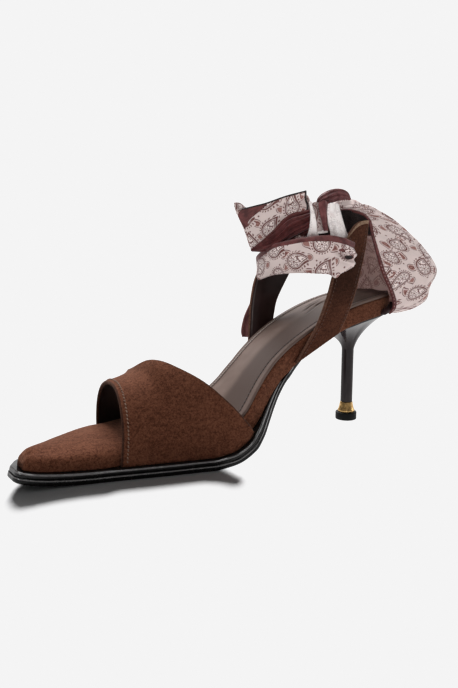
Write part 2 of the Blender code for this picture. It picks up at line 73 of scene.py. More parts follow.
# ------------------------------------------------------------------ sizes of the shoe, as in the solids
SOLE = table("x z lateral medial", (
    (0.0, 4.2, -6.0, 0.0), (2.0, 3.8, -11.2, 5.4), (6.0, 3.0, -13.4, 12.0), (10.0, 2.3, -14.6, 16.0),
    (18.0, 1.2, -16.2, 20.8), (28.0, 0.35, -18.4, 26.2), (38.0, 0.0, -20.8, 30.8), (50.0, 0.0, -24.3, 36.0),
    (62.0, 0.0, -28.0, 40.2), (74.0, 0.0, -31.6, 43.0), (84.0, 0.0, -34.4, 43.4), (92.0, 0.0, -36.8, 41.6),
    (100.0, 1.2, -39.4, 37.6), (107.0, 3.8, -41.8, 32.4), (114.0, 7.8, -42.2, 26.2), (121.0, 13.0, -39.4, 20.4),
    (128.0, 18.9, -34.5, 16.2), (135.0, 24.9, -29.4, 14.2), (142.0, 30.6, -24.9, 14.2), (150.0, 36.3, -21.3, 15.8),
    (160.0, 42.4, -19.6, 18.2), (170.0, 47.7, -19.3, 20.0), (180.0, 52.4, -19.4, 20.6), (190.0, 56.4, -19.7, 20.4),
    (200.0, 59.5, -20.0, 20.2), (212.0, 62.0, -20.2, 20.2), (222.0, 63.3, -18.8, 18.8), (230.0, 63.9, -15.4, 15.4),
    (236.0, 64.1, -9.8, 9.8), (240.0, 64.2, -2.0, 2.0),
))
BOARD = table("x ledge_lat ledge_med base top crown edge", (
    (0.0, 3.4, 3.6, 5.8, 13.0, 1.8, 4.8), (10.0, 3.4, 4.6, 5.8, 13.2, 1.8, 4.8), (30.0, 3.8, 3.4, 5.8, 13.2, 1.8, 4.8),
    (44.0, 4.0, 3.4, 5.8, 13.2, 1.8, 4.8), (51.0, 6.5, 3.8, 5.8, 13.1, 1.7, 4.8), (60.0, 6.5, 6.5, 5.8, 13.0, 1.6, 4.6),
    (92.0, 6.5, 6.5, 5.8, 12.8, 1.2, 4.2), (102.0, 6.5, 6.4, 5.8, 12.9, 0.8, 3.6), (109.0, 6.5, 4.2, 5.8, 13.0, 0.6, 3.0),
    (119.5, 6.3, 2.5, 5.7, 13.0, 0.4, 2.2), (127.0, 3.0, 1.8, 5.3, 13.0, 0.3, 1.7), (135.0, 1.6, 1.2, 4.9, 13.0, 0.2, 1.5),
    (147.0, 0.2, 0.2, 4.2, 13.0, -0.2, 1.4), (154.0, 0.0, 0.0, 3.3, 13.0, -0.4, 1.4), (240.0, 0.0, 0.0, 3.3, 13.0, -0.6, 1.2),
))
INSETS = table("x outsole insole", (
    (0.0, 0.0, 5.4), (97.0, 0.0, 5.4), (113.0, 0.0, 4.0), (125.0, 0.0, 2.2), (140.0, 0.0, 1.3),
    (151.0, 0.2, 1.0), (159.0, 2.2, 0.9), (167.0, 4.8, 0.9), (187.0, 5.6, 0.9), (240.0, 5.6, 0.9),
))
VAMP_EDGE = table("girth front rear", (
    (0.00, 50.0, 115.5), (0.12, 51.7, 105.6), (0.25, 53.2, 94.4), (0.38, 55.0, 82.9),
    (0.50, 56.9, 77.4), (0.62, 58.5, 73.8), (0.75, 60.0, 78.6), (0.88, 61.2, 85.0), (1.00, 62.0, 90.0),
))
VAMP_CREST = table("x crest_z crest_y power", (
    (40.0, 36.5, 5.0, 2.30), (57.0, 41.0, 4.0, 2.30), (66.0, 42.9, 3.0, 2.25), (72.0, 45.2, 2.4, 2.20),
    (78.0, 51.4, 1.6, 2.16), (92.0, 55.0, 0.5, 2.15), (116.0, 61.0, -3.0, 2.10),
))
STRAP_LATERAL = table("xf zf xb zb yf yb", (
    (155.8, 45.6, 185.0, 59.2, -20.95, -20.95), (162.6, 54.6, 187.4, 63.6, -21.0, -21.0),
    (169.6, 65.0, 190.4, 70.0, -21.5, -21.6), (175.4, 80.0, 194.0, 80.0, -22.8, -22.6),
    (178.8, 93.0, 197.2, 92.0, -23.8, -23.2), (183.4, 101.4, 201.0, 103.6, -24.0, -22.4),
    (187.2, 108.6, 204.4, 114.0, -23.2, -20.6), (190.5, 114.7, 205.8, 122.0, -22.0, -19.8),
))
STRAP_MEDIAL = table("xf zf xb zb yf yb", (
    (150.0, 38.6, 172.4, 53.0, 18.5, 22.2), (153.6, 51.4, 170.4, 60.8, 19.8, 22.2),
    (155.4, 63.0, 171.2, 67.2, 21.2, 22.4), (157.2, 75.0, 174.0, 75.6, 22.4, 23.0),
    (161.6, 88.6, 183.0, 89.4, 23.6, 23.8), (171.0, 101.0, 190.0, 101.0, 24.0, 23.4),
    (181.6, 112.0, 196.4, 110.8, 23.2, 21.8), (190.0, 118.4, 198.4, 116.2, 22.0, 20.8),
))


# ------------------------------------------------------------------ curves
def pchip(xs, ys):
    step = np.diff(xs)
    slope = np.diff(ys) / step
    tangent = np.zeros(len(xs))
    for k in range(1, len(xs) - 1):
        if slope[k - 1] * slope[k] > 0:
            w1, w2 = 2 * step[k] + step[k - 1], step[k] + 2 * step[k - 1]
            tangent[k] = (w1 + w2) / (w1 / slope[k - 1] + w2 / slope[k])
    tangent[0], tangent[-1] = slope[0], slope[-1]

    def curve(x):
        x = min(max(float(x), xs[0]), xs[-1])
        k = min(max(int(np.searchsorted(xs, x, side="right")) - 1, 0), len(step) - 1)
        t = (x - xs[k]) / step[k]
        return (ys[k] * (1 + 2 * t) * (1 - t) ** 2 + ys[k + 1] * t * t * (3 - 2 * t)
                + step[k] * (tangent[k] * t * (1 - t) ** 2 - tangent[k + 1] * t * t * (1 - t)))
    return curve


def smooth(xs, ys):
    tangent = np.gradient(ys, xs)

    def curve(x):
        x = min(max(float(x), xs[0]), xs[-1])
        k = min(int(x - xs[0]), len(xs) - 2)
        t = x - xs[k]
        return (ys[k] * (1 + 2 * t) * (1 - t) ** 2 + ys[k + 1] * t * t * (3 - 2 * t)
                + tangent[k] * t * (1 - t) ** 2 - tangent[k + 1] * t * t * (1 - t))
    return curve


def rows_curve(tab, names):
    knots = np.arange(len(tab[names[0]]), dtype=float)
    parts = [smooth(knots, tab[name]) for name in names]
    return lambda t: [part(t * knots[-1]) for part in parts]


def turn(x):
    return math.acos(max(-1.0, min(1.0, 1 - 2 * x / SOLE_LENGTH)))


def ease(a, b, x):
    """Smooth step from 0 at a to 1 at b."""
    t = min(1.0, max(0.0, (x - a) / (b - a)))
    return t * t * (3 - 2 * t)


_turns = np.array([turn(x) for x in SOLE["x"]])
sole_z = pchip(SOLE["x"], SOLE["z"])
_lateral, _medial = pchip(_turns, SOLE["lateral"]), pchip(_turns, SOLE["medial"])
board = {name: pchip(BOARD["x"], BOARD[name]) for name in BOARD if name != "x"}
inset = {name: pchip(INSETS["x"], INSETS[name]) for name in INSETS if name != "x"}


def edge_lateral(x):
    return _lateral(turn(x))


def edge_medial(x):
    return _medial(turn(x))


def slope_angle(x):
    return math.atan((sole_z(x + 0.5) - sole_z(x - 0.5)) / (min(x + 0.5, SOLE_LENGTH) - max(x - 0.5, 0.0)))


_fine_x = np.linspace(-6.0, SOLE_LENGTH + 6.0, 1261)
_fine_a = np.array([slope_angle(min(max(x, 0.0), SOLE_LENGTH)) for x in _fine_x])
_fine_a = np.convolve(np.pad(_fine_a, 12, mode="edge"), np.hanning(25) / np.hanning(25).sum(), mode="valid")
_fine_z = np.array([sole_z(x) for x in _fine_x])


def at_station(x, y, n):
    """Point at height n above the sole's bottom line, at right angles to it."""
    a = float(np.interp(x, _fine_x, _fine_a))
    return (x - n * math.sin(a), y, float(np.interp(x, _fine_x, _fine_z)) + n * math.cos(a))


def inset_edges(distance_lat, distance_med):
    xs = [SOLE_LENGTH * 0.5 * (1 - math.cos(math.pi * i / 400)) for i in range(401)]
    moved = []
    for edge, distance, side in ((edge_lateral, distance_lat, 1), (edge_medial, distance_med, -1)):
        pts = np.array([(x, edge(x)) for x in xs])
        tangent = np.gradient(pts, axis=0)
        tangent /= np.linalg.norm(tangent, axis=1)[:, None]
        normal = np.stack([-tangent[:, 1], tangent[:, 0]], 1) * side
        moved.append(pts + normal * np.array([distance(x) for x in xs])[:, None])
    lat, med = moved
    start, end = max(lat[0, 0], med[0, 0]), min(lat[-1, 0], med[-1, 0])
    return (lambda x: float(np.interp(x, lat[:, 0], lat[:, 1])),
            lambda x: float(np.interp(x, med[:, 0], med[:, 1])), start, end)


def stations(start, end, count):
    a, b = turn(start), turn(end)
    return [SOLE_LENGTH * 0.5 * (1 - math.cos(a + (b - a) * i / (count - 1))) for i in range(count)]


# ------------------------------------------------------------------ mesh builders
def make_object(name, verts, faces, materials, face_material=None, coords=None, smooth_angle=None):
    """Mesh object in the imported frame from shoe-frame points; coords is stored as the vector attribute 'cloth'."""
    mesh = bpy.data.meshes.new(name)
    mesh.from_pydata([row(v) for v in verts], [], faces)
    for m in materials:
        mesh.materials.append(m)
    if face_material is not None:
        mesh.polygons.foreach_set("material_index", np.array(face_material, np.int32))
    if coords is not None:
        attribute = mesh.attributes.new("cloth", "FLOAT_VECTOR", "POINT")
        attribute.data.foreach_set("vector", np.array(coords, np.float32).ravel())
    mesh.update()
    bm = bmesh.new()
    bm.from_mesh(mesh)
    bmesh.ops.recalc_face_normals(bm, faces=bm.faces)
    bm.to_mesh(mesh)
    bm.free()
    mesh.shade_smooth()
    if smooth_angle:
        mesh.set_sharp_from_angle(angle=math.radians(smooth_angle))
    obj = bpy.data.objects.new(name, mesh)
    bpy.context.scene.collection.objects.link(obj)
    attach(obj, "root")
    return obj


def grid_faces(rows, columns, first=0, wrap=False):
    faces = []
    for i in range(rows - 1):
        for j in range(columns if wrap else columns - 1):
            k = (j + 1) % columns
            faces.append((first + i * columns + j, first + i * columns + k,
                          first + (i + 1) * columns + k, first + (i + 1) * columns + j))
    return faces


def outline_distance(points, lat, med, start, end, count=500):
    """Distance of plan points from the outline."""
    xs = stations(start, end, count)
    line = [(x, lat(x)) for x in xs] + [(x, med(x)) for x in reversed(xs)]
    line = np.array(line + line[:1])
    a, b = line[:-1], line[1:]
    d = b - a
    length2 = np.maximum((d ** 2).sum(1), 1e-12)
    best = np.full(len(points), 1e9)
    for k in range(0, len(a), 50):
        rel = points[:, None, :] - a[None, k:k + 50]
        t = np.clip((rel * d[None, k:k + 50]).sum(2) / length2[None, k:k + 50], 0, 1)
        gap = rel - t[:, :, None] * d[None, k:k + 50]
        best = np.minimum(best, np.sqrt((gap ** 2).sum(2)).min(1))
    return best


def rounded(d, r):
    """How far an edge of radius r has dropped at distance d from the outline."""
    return 0.0 if d >= r else r - math.sqrt(max(0.0, r * r - (r - d) ** 2))


def plan_solid(name, lat, med, start, end, count, edge_steps, middle, top, base, materials, walls=3, band=0.0, tint=None):
    """Solid over a plan outline: top and base give the height at a plan point and its distance from the edge.

    Upper faces closer to the edge than band take material 1; tint gives the shade of each upper point.
    """
    xs = stations(start, end, count)
    plan = []
    for x in xs:
        y0, y1 = lat(x), med(x)
        reach = min(1.0, 0.46 * (y1 - y0) / edge_steps[-1])
        left = [y0 + d * reach for d in edge_steps]
        right = [y1 - d * reach for d in reversed(edge_steps)]
        inner = [left[-1] + (right[0] - left[-1]) * (j + 1) / (middle + 1) for j in range(middle)]
        plan.append([(x, y) for y in left + inner + right])
    columns = len(plan[0])
    flat = np.array([p for r in plan for p in r])
    dist = outline_distance(flat, lat, med, start, end)
    on_edge = np.zeros((count, columns), bool)
    on_edge[0], on_edge[-1], on_edge[:, 0], on_edge[:, -1] = True, True, True, True
    dist[on_edge.ravel()] = 0.0
    upper = [at_station(x, y, top(x, y, d)) for (x, y), d in zip(flat, dist)]
    lower = [at_station(x, y, base(x, y, d)) for (x, y), d in zip(flat, dist)]
    verts = upper + lower
    faces = grid_faces(count, columns) + [tuple(reversed(f)) for f in grid_faces(count, columns, len(upper))]
    ring = ([i * columns for i in range(count)] + [(count - 1) * columns + j for j in range(1, columns)]
            + [i * columns + columns - 1 for i in range(count - 2, -1, -1)] + [j for j in range(columns - 2, 0, -1)])
    levels = [ring]
    for w in range(1, walls):
        first = len(verts)
        t = w / walls
        verts += [tuple(np.array(upper[k]) * (1 - t) + np.array(lower[k]) * t) for k in ring]
        levels.append(list(range(first, first + len(ring))))
    levels.append([len(upper) + k for k in ring])
    for a, b in zip(levels, levels[1:]):
        faces += [(a[k], b[k], b[(k + 1) % len(ring)], a[(k + 1) % len(ring)]) for k in range(len(ring))]
    kinds = [1 if max(dist[k] for k in f) < band else 0 for f in grid_faces(count, columns)]
    kinds += [0] * (len(faces) - len(kinds))
    coords = None
    if tint:
        coords = [(x, y, tint(x, y, d)) for (x, y), d in zip(flat, dist)]
        coords += [(0.0, 0.0, 0.0)] * (len(verts) - len(coords))
    return make_object(name, verts, faces, materials, kinds, coords)


def thick_sheet(name, point, us, vs, thickness, materials, edge=3, ends=(True, True), bulge=0.0, outward=1):
    """Leather sheet with rounded edges: point(u, v) is the middle of the wall; u runs along, v across.

    Material 0 is the outer face, material 1 the inner face and material 2 the edges.
    """
    grid = np.array([[point(u, v) for v in vs] for u in us])
    du, dv = np.gradient(grid, axis=0), np.gradient(grid, axis=1)
    normal = np.cross(du, dv) * outward
    normal /= np.maximum(np.linalg.norm(normal, axis=2), 1e-9)[:, :, None]
    half = thickness / 2
    across = dv / np.maximum(np.linalg.norm(dv, axis=2), 1e-9)[:, :, None]
    loops, kinds = [], []
    for i in range(len(us)):
        swell = [bulge * (1 - (2 * j / (len(vs) - 1) - 1) ** 4) for j in range(len(vs))]
        outer = [grid[i, j] + normal[i, j] * (half + swell[j]) for j in range(len(vs))]
        inner = [grid[i, j] - normal[i, j] * half for j in range(len(vs))]
        far = [grid[i, -1] + normal[i, -1] * half * math.cos(a) + across[i, -1] * half * math.sin(a)
               for a in np.linspace(0, math.pi, edge + 2)[1:-1]]
        near = [grid[i, 0] - normal[i, 0] * half * math.cos(a) - across[i, 0] * half * math.sin(a)
                for a in np.linspace(0, math.pi, edge + 2)[1:-1]]
        loops.append(outer + far + inner[::-1] + near)
    count = len(loops[0])
    verts = [tuple(p) for loop in loops for p in loop]
    faces = grid_faces(len(us), count, wrap=True)
    outer_n, inner_n = len(vs), len(vs)
    kind = [0] * (outer_n - 1) + [2] * (edge + 1) + [1] * (inner_n - 1) + [2] * (edge + 1)
    face_material = kind * (len(us) - 1)
    for end, at in zip(ends, (0, len(us) - 1)):
        if end:
            base = at * count
            pairs = [(base + j, base + outer_n + edge + inner_n - 1 - j) for j in range(outer_n)]
            for (a, b), (c, d) in zip(pairs, pairs[1:]):
                faces.append((a, c, d, b))
                face_material.append(2)
            far = [base + outer_n - 1 + k for k in range(edge + 2)]
            near = [base + outer_n + edge + inner_n - 1 + k for k in range(edge + 1)] + [base]
            faces.append(tuple(far))
            faces.append(tuple(near))
            face_material += [2, 2]
    return make_object(name, verts, faces, materials, face_material), grid, normal


def stitch_row(name, points, normals, spacing, length, radius, material, lift=0.0, slant=0.0, skip=0.0):
    """Row of separate thread stitches along a line: short tubes that dip into the surface at both ends."""
    pts, nrm = np.array(points), np.array(normals)
    seg = np.linalg.norm(np.diff(pts, axis=0), axis=1)
    run = np.concatenate([[0], np.cumsum(seg)])
    count = int((run[-1] - 2 * skip) / spacing)
    verts, faces = [], []
    sides, rings = 6, 6

    def at(s):
        p = np.array([np.interp(s, run, pts[:, k]) for k in range(3)])
        n = np.array([np.interp(s, run, nrm[:, k]) for k in range(3)])
        return p, n / np.linalg.norm(n)
    for i in range(count):
        s0 = skip + (run[-1] - 2 * skip - count * spacing) / 2 + (i + 0.5) * spacing
        mid, n = at(s0)
        along = at(s0 + 0.3)[0] - at(s0 - 0.3)[0]
        along /= np.linalg.norm(along)
        side = np.cross(n, along)
        along = along * math.cos(slant) + side * math.sin(slant)
        side = np.cross(n, along)
        first = len(verts)
        for k in range(rings):
            t = 2 * k / (rings - 1) - 1
            r = radius * math.sqrt(max(0.06, 1 - t ** 4))
            centre = mid + along * t * length / 2 + n * (lift + radius * (0.75 - 1.1 * t * t))
            for m in range(sides):
                a = 2 * math.pi * m / sides
                verts.append(tuple(centre + r * (math.cos(a) * side + math.sin(a) * n)))
        faces += [(f[0], f[1], f[2], f[3]) for f in grid_faces(rings, sides, first, wrap=True)]
        faces.append(tuple(first + m for m in reversed(range(sides))))
        faces.append(tuple(first + (rings - 1) * sides + m for m in range(sides)))
    return make_object(name, verts, faces, [material])


def turned(name, profile, centre, materials, steps=72, face_kind=None):
    """Turned piece from a profile of (radius, height) from the axis at the top to the axis below."""
    verts, faces, kinds = [], [], []
    for r, z in profile[1:-1]:
        verts += [(centre[0] + r * math.cos(2 * math.pi * k / steps), centre[1] + r * math.sin(2 * math.pi * k / steps), z)
                  for k in range(steps)]
    faces = grid_faces(len(profile) - 2, steps, wrap=True)
    top, low = len(verts), len(verts) + 1
    verts += [(*centre, profile[0][1]), (*centre, profile[-1][1])]
    faces += [(top, k, (k + 1) % steps) for k in range(steps)]
    base = (len(profile) - 3) * steps
    faces += [(low, base + (k + 1) % steps, base + k) for k in range(steps)]
    return make_object(name, verts, faces, materials, smooth_angle=35)


# ------------------------------------------------------------------ materials
class Graph:
    """Short way to lay out a material's nodes."""

    def __init__(self, name, **sockets):
        self.mat = bpy.data.materials.new(name)
        self.mat.use_nodes = True
        self.tree = self.mat.node_tree
        self.shader = self.tree.nodes["Principled BSDF"]
        for key, value in sockets.items():
            self.shader.inputs[key.replace("_", " ")].default_value = value

    def feed(self, socket, value):
        if isinstance(value, bpy.types.NodeSocket):
            self.tree.links.new(value, socket)
        else:
            socket.default_value = value

    def node(self, kind, inputs=(), **props):
        n = self.tree.nodes.new("ShaderNode" + kind)
        for key, value in props.items():
            setattr(n, key, value)
        for key, value in dict(inputs).items():
            self.feed(n.inputs[key], value)
        return n

    def math(self, op, a, b=None, c=None, clamp=False):
        n = self.node("Math", operation=op, use_clamp=clamp)
        for socket, value in zip(n.inputs, (a, b, c)):
            if value is not None:
                self.feed(socket, value)
        return n.outputs[0]

    def vec(self, op, a, b=None, scale=None):
        n = self.node("VectorMath", operation=op)
        self.feed(n.inputs[0], a)
        if b is not None:
            self.feed(n.inputs[1], b)
        if scale is not None:
            self.feed(n.inputs["Scale"], scale)
        return n.outputs["Value"] if op in ("LENGTH", "DISTANCE", "DOT_PRODUCT") else n.outputs["Vector"]

    def mix(self, factor, a, b):
        n = self.node("Mix", data_type="RGBA")
        self.feed(n.inputs[0], factor)
        for socket, value in ((n.inputs[6], a), (n.inputs[7], b)):
            self.feed(socket, (*value, 1.0) if isinstance(value, tuple) and len(value) == 3 else value)
        return n.outputs[2]

    def ramp(self, value, low, high, to_low=0.0, to_high=1.0, smooth_step=True):
        n = self.node("MapRange", interpolation_type="SMOOTHSTEP" if smooth_step else "LINEAR")
        self.feed(n.inputs[0], value)
        for k, v in zip((1, 2, 3, 4), (low, high, to_low, to_high)):
            self.feed(n.inputs[k], v)
        return n.outputs[0]

    def place(self, scale=(1, 1, 1), turned_by=(0, 0, 0)):
        """Position on the object in millimetres, stretched and turned."""
        if not hasattr(self, "_mm"):
            self._mm = self.vec("SCALE", self.node("TexCoord").outputs["Object"], scale=1000.0)
        n = self.node("Mapping", vector_type="POINT")
        self.feed(n.inputs["Vector"], self._mm)
        n.inputs["Rotation"].default_value = turned_by
        n.inputs["Scale"].default_value = scale
        return n.outputs["Vector"]

    def noise(self, vector, scale, detail=3.0, roughness=0.55, distortion=0.0):
        n = self.node("TexNoise", {"Vector": vector, "Scale": scale, "Detail": detail, "Roughness": roughness,
                                   "Distortion": distortion})
        return n.outputs[0]

    def bump(self, height, distance, strength=1.0, normal=None):
        n = self.node("Bump", {"Height": height, "Distance": distance, "Strength": strength})
        if normal is not None:
            self.feed(n.inputs["Normal"], normal)
        return n.outputs["Normal"]

    def out(self, **sockets):
        for key, value in sockets.items():
            self.feed(self.shader.inputs[key.replace("_", " ")], value)
        return self.mat


def suede_material(name, dark, light, streak=(0.0, 0.0, 0.5), band_shadow_heights=None):
    """Napped suede: soft clouds where the nap lies differently, short strokes and a fine grain; the heights in
    band_shadow_heights bound a band of painted shadow.
    """
    g = Graph(name, Roughness=0.95, Specular_IOR_Level=0.08, Sheen_Weight=0.11, Sheen_Roughness=0.45,
              Sheen_Tint=(0.95, 0.62, 0.45, 1.0))
    clouds = g.noise(g.place(), 0.055, 3.0, 0.55, 0.4)
    strokes = g.noise(g.place((0.30, 1.0, 1.0), streak), 0.55, 4.0, 0.6)
    grain = g.noise(g.place(), 1.5, 4.0, 0.72)
    specks = g.noise(g.place(), 0.85, 2.0, 0.5)
    tone = g.math("MULTIPLY_ADD", g.math("SUBTRACT", clouds, 0.5), 0.7, 0.5)
    tone = g.math("MULTIPLY_ADD", g.math("SUBTRACT", strokes, 0.5), 1.1, tone)
    tone = g.math("MULTIPLY_ADD", g.math("SUBTRACT", grain, 0.5), 3.2, tone)
    tone = g.math("MULTIPLY_ADD", g.math("SUBTRACT", specks, 0.5), 1.6, tone, clamp=True)
    height = g.math("MULTIPLY_ADD", grain, 0.6, g.math("MULTIPLY", strokes, 0.8))
    colour = g.mix(tone, dark, light)
    # Painted shadow: a darker band between the given heights, where the scarf band across the ankle shades the strap.
    if band_shadow_heights:
        up = g.node("SeparateXYZ", {"Vector": g.place()}).outputs[2]
        band = g.math("MULTIPLY", g.ramp(up, band_shadow_heights[0], band_shadow_heights[1]), g.ramp(up, band_shadow_heights[2], band_shadow_heights[3], 1.0, 0.0))
        colour = g.mix(g.math("MULTIPLY", band, 0.62), colour, tuple(0.30 * c for c in dark))
    return g.out(Base_Color=colour, Normal=g.bump(height, 0.00022, 0.55))


def leather_material(name, dark, light, roughness, grain=1.6, bump=0.00006, coat=0.0, clouds=0.05, gloss=0.5, painted_shade_colour=None):
    """Smooth leather with a fine pore grain and slow changes of tone; painted_shade_colour is the colour of painted
    shade where the mesh is tinted, and a tint above 1 darkens it further.
    """
    g = Graph(name, Coat_Weight=coat, Coat_Roughness=0.18, Specular_IOR_Level=gloss)
    tone = g.noise(g.place(), clouds, 3.0, 0.6)
    pores = g.node("TexVoronoi", {"Vector": g.place(), "Scale": grain}, feature="SMOOTH_F1").outputs[0]
    fine = g.noise(g.place(), grain * 2.2, 3.0, 0.6)
    level = g.math("MULTIPLY_ADD", g.math("SUBTRACT", fine, 0.5), 0.35, g.ramp(tone, 0.3, 0.7))
    height = g.math("MULTIPLY_ADD", fine, 0.4, pores)
    colour = g.mix(level, dark, light)
    if painted_shade_colour:
        painted_shade_level = g.node("SeparateXYZ", {"Vector": g.node("Attribute", attribute_name="cloth").outputs["Vector"]}).outputs[2]
        colour = g.mix(painted_shade_level, colour, painted_shade_colour)
        colour = g.mix(g.math("SUBTRACT", painted_shade_level, 1.0, clamp=True), colour, tuple(0.22 * c for c in painted_shade_colour))
    return g.out(Base_Color=colour, Roughness=g.ramp(fine, 0.2, 0.8, roughness - 0.06, roughness + 0.08),
                 Normal=g.bump(height, bump, 0.6))


def gloss_material(name, colour, roughness, coat=1.0, smear=0.05, metallic=0.0, gloss=0.35):
    """Lacquer, a light grey painted highlight on the sole's edges, or metal, with faint smears."""
    g = Graph(name, Coat_Weight=coat, Coat_Roughness=0.06, Metallic=metallic, Specular_IOR_Level=gloss)
    smears = g.noise(g.place((1.0, 1.0, 0.25)), 0.35, 4.0, 0.65)
    dust = g.noise(g.place(), 2.6, 2.0, 0.5)
    lighter = tuple(min(1.0, c * 1.5 + 0.004) for c in colour)
    return g.out(Base_Color=g.mix(g.ramp(smears, 0.35, 0.75), colour, lighter),
                 Roughness=g.ramp(smears, 0.3, 0.75, roughness, roughness + smear),
                 Normal=g.bump(g.math("MULTIPLY_ADD", dust, 0.15, smears), 0.00004, 0.25))


def thread_material(name, colour):
    g = Graph(name, Roughness=0.75, Sheen_Weight=0.2)
    twist = g.noise(g.place((1.0, 1.0, 1.0), (0.4, 0.5, 0.6)), 3.5, 2.0, 0.5)
    dark = tuple(c * 0.55 for c in colour)
    return g.out(Base_Color=g.mix(g.ramp(twist, 0.3, 0.7), dark, colour), Normal=g.bump(twist, 0.00006, 0.6))


suede = suede_material("suede_brown", (0.052, 0.0150, 0.0072), (0.160, 0.0600, 0.0330))
# Both heel straps carry the scarf band's painted shadow between 68 and 108 mm up.
suede_strap = suede_material("suede_strap", (0.032, 0.0098, 0.0050), (0.090, 0.0315, 0.0175), (0.0, 0.9, 0.0), (68.0, 90.0, 99.0, 108.0))
suede_cut = suede_material("suede_cut_edge", (0.066, 0.0290, 0.0190), (0.150, 0.0740, 0.0500), (0.0, 0.9, 0.0))
suede_tan = suede_material("suede_top_rim", (0.170, 0.1000, 0.0640), (0.340, 0.2200, 0.1500), (0.0, 0.9, 0.0))
lining_strap = leather_material("lining_strap", (0.0190, 0.0086, 0.0078), (0.0360, 0.0180, 0.0165), 0.36, 1.4, 0.00005, 0.05, gloss=0.22)
# A lighter copy of the lining: painted highlight on the inner strap's rolled front edge.
lining_edge_painted_highlight = leather_material("lining_edge_painted_highlight", (0.034, 0.0210, 0.0185), (0.058, 0.0380, 0.0340), 0.34, 1.4, 0.00005, 0.25, gloss=0.4)
lining = leather_material("lining_dark", (0.0085, 0.0046, 0.0042), (0.019, 0.0112, 0.0104), 0.36, 1.4, 0.00005, 0.20)
rim_dark = suede_material("suede_rim", (0.026, 0.0100, 0.0066), (0.070, 0.0290, 0.0190))
# The sock's tint colour is painted shade.
sock = leather_material("sock_taupe", (0.128, 0.0860, 0.0715), (0.176, 0.1230, 0.1030), 0.62, 2.0, 0.00003, 0.0, gloss=0.14, painted_shade_colour=(0.078, 0.0490, 0.0395))
sole_black = gloss_material("sole_black", (0.0022, 0.0019, 0.0019), 0.20, 0.06, 0.06, gloss=0.12)
welt_black = gloss_material("welt_black", (0.0026, 0.0020, 0.0018), 0.16, 0.10, 0.04, gloss=0.14)
lacquer = gloss_material("heel_lacquer", (0.0170, 0.0118, 0.0122), 0.14, 0.08, 0.03, gloss=0.14)
# Light grey lacquer: a painted highlight line on the outsole's and welt's top edges.
edge_painted_highlight = gloss_material("edge_painted_highlight", (0.105, 0.099, 0.099), 0.10, 0.60, 0.04, gloss=0.40)
# Near-black painted shadow for the dark gap between the heel cup and the board.
seat_painted_shadow = leather_material("seat_painted_shadow", (0.004, 0.0024, 0.0020), (0.008, 0.005, 0.0045), 0.7, 1.4, 0.00005, gloss=0.1)
gold = gloss_material("ring_gold", (0.56, 0.345, 0.130), 0.22, 0.3, 0.06, 0.72)
rubber = leather_material("tip_rubber", (0.0035, 0.0035, 0.0035), (0.008, 0.008, 0.008), 0.55, 2.4, 0.00008, gloss=0.12)
thread_tan = thread_material("thread_tan", (0.27, 0.155, 0.10))
thread_brown = thread_material("thread_brown", (0.085, 0.034, 0.020))
thread_sock = thread_material("thread_sock", (0.030, 0.019, 0.016))
# Pale thread for the inner side: its close stitches run together into a painted highlight line along the pad's edge.
thread_sock_painted_highlight = thread_material("thread_sock_painted_highlight", (0.62, 0.52, 0.475))

# ------------------------------------------------------------------ sole and welt
EDGE_FINE = (0.0, 0.06, 0.16, 0.32, 0.55, 0.85, 1.3, 2.0, 3.2)
sole_lat, sole_med, _, _ = inset_edges(inset["outsole"], inset["outsole"])
# The faces nearest the outsole's top edge are a light grey painted highlight line.
outsole = plan_solid("sole_outsole", sole_lat, sole_med, 0.0, OUTSOLE_END, 190, EDGE_FINE, 8,
                     lambda x, y, d: OUTSOLE_T - rounded(d, 0.8),
                     lambda x, y, d: rounded(d, 0.9), [sole_black, edge_painted_highlight], band=0.20)
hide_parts("outsole")


def welt_top(x, y, d):
    return board["base"](x) - GAP - rounded(d, 0.85) + 0.12 * ease(0.8, 3.0, d)


WELT_IN = 0.45             # the outsole's edge stands proud of the welt by this much
welt_lat, welt_med, welt_start, _ = inset_edges(lambda x: WELT_IN, lambda x: WELT_IN)
# The faces nearest the welt's top edge are a light grey painted highlight line.
welt = plan_solid("sole_welt", welt_lat, welt_med, welt_start + 0.02, WELT_END, 190, EDGE_FINE, 8, welt_top,
                  lambda x, y, d: OUTSOLE_T + 0.12 + rounded(d, 0.30), [welt_black, edge_painted_highlight], band=0.35)
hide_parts("welt")

# ------------------------------------------------------------------ board
board_lat, board_med, board_start, board_end = inset_edges(board["ledge_lat"], board["ledge_med"])
board_start, board_end = board_start + 0.02, board_end - 0.02


def across(x, y, reach):
    """Place across the board, -1 to 1, for its crown."""
    lat, med = board_lat(x), board_med(x)
    return max(-1.0, min(1.0, (y - (lat + med) / 2) / max(0.5, (med - lat) / 2 - reach)))


def board_top(x, y, d):
    r = board["edge"](x)
    drop = 0.0 if d >= r else r * 0.92 * (1 - math.sqrt(max(0.0, 1 - (1 - d / r) ** 2)))
    return board["top"](x) + board["crown"](x) * (1 - across(x, y, r) ** 2) * ease(0.0, r, d) - drop


EDGE_SOFT = (0.0, 0.12, 0.35, 0.7, 1.15, 1.7, 2.4, 3.2, 4.2, 5.4)
footbed = plan_solid("board_suede", board_lat, board_med, board_start, board_end, 200, EDGE_SOFT, 14, board_top,
                     lambda x, y, d: board["base"](x) - 0.15 + rounded(d, 0.5), [suede], walls=5)
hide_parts("footbed")
# The forepart has its own lightly padded suede cover, which ends under the band.
COVER_END, COVER_PAD = 112.0, 1.25


def cover_top(x, y, d):
    return board_top(x, y, d) + 0.05 + COVER_PAD * ease(12.0, 44.0, x) * (1 - ease(92.0, 110.0, x)) * ease(0.0, 7.0, d)


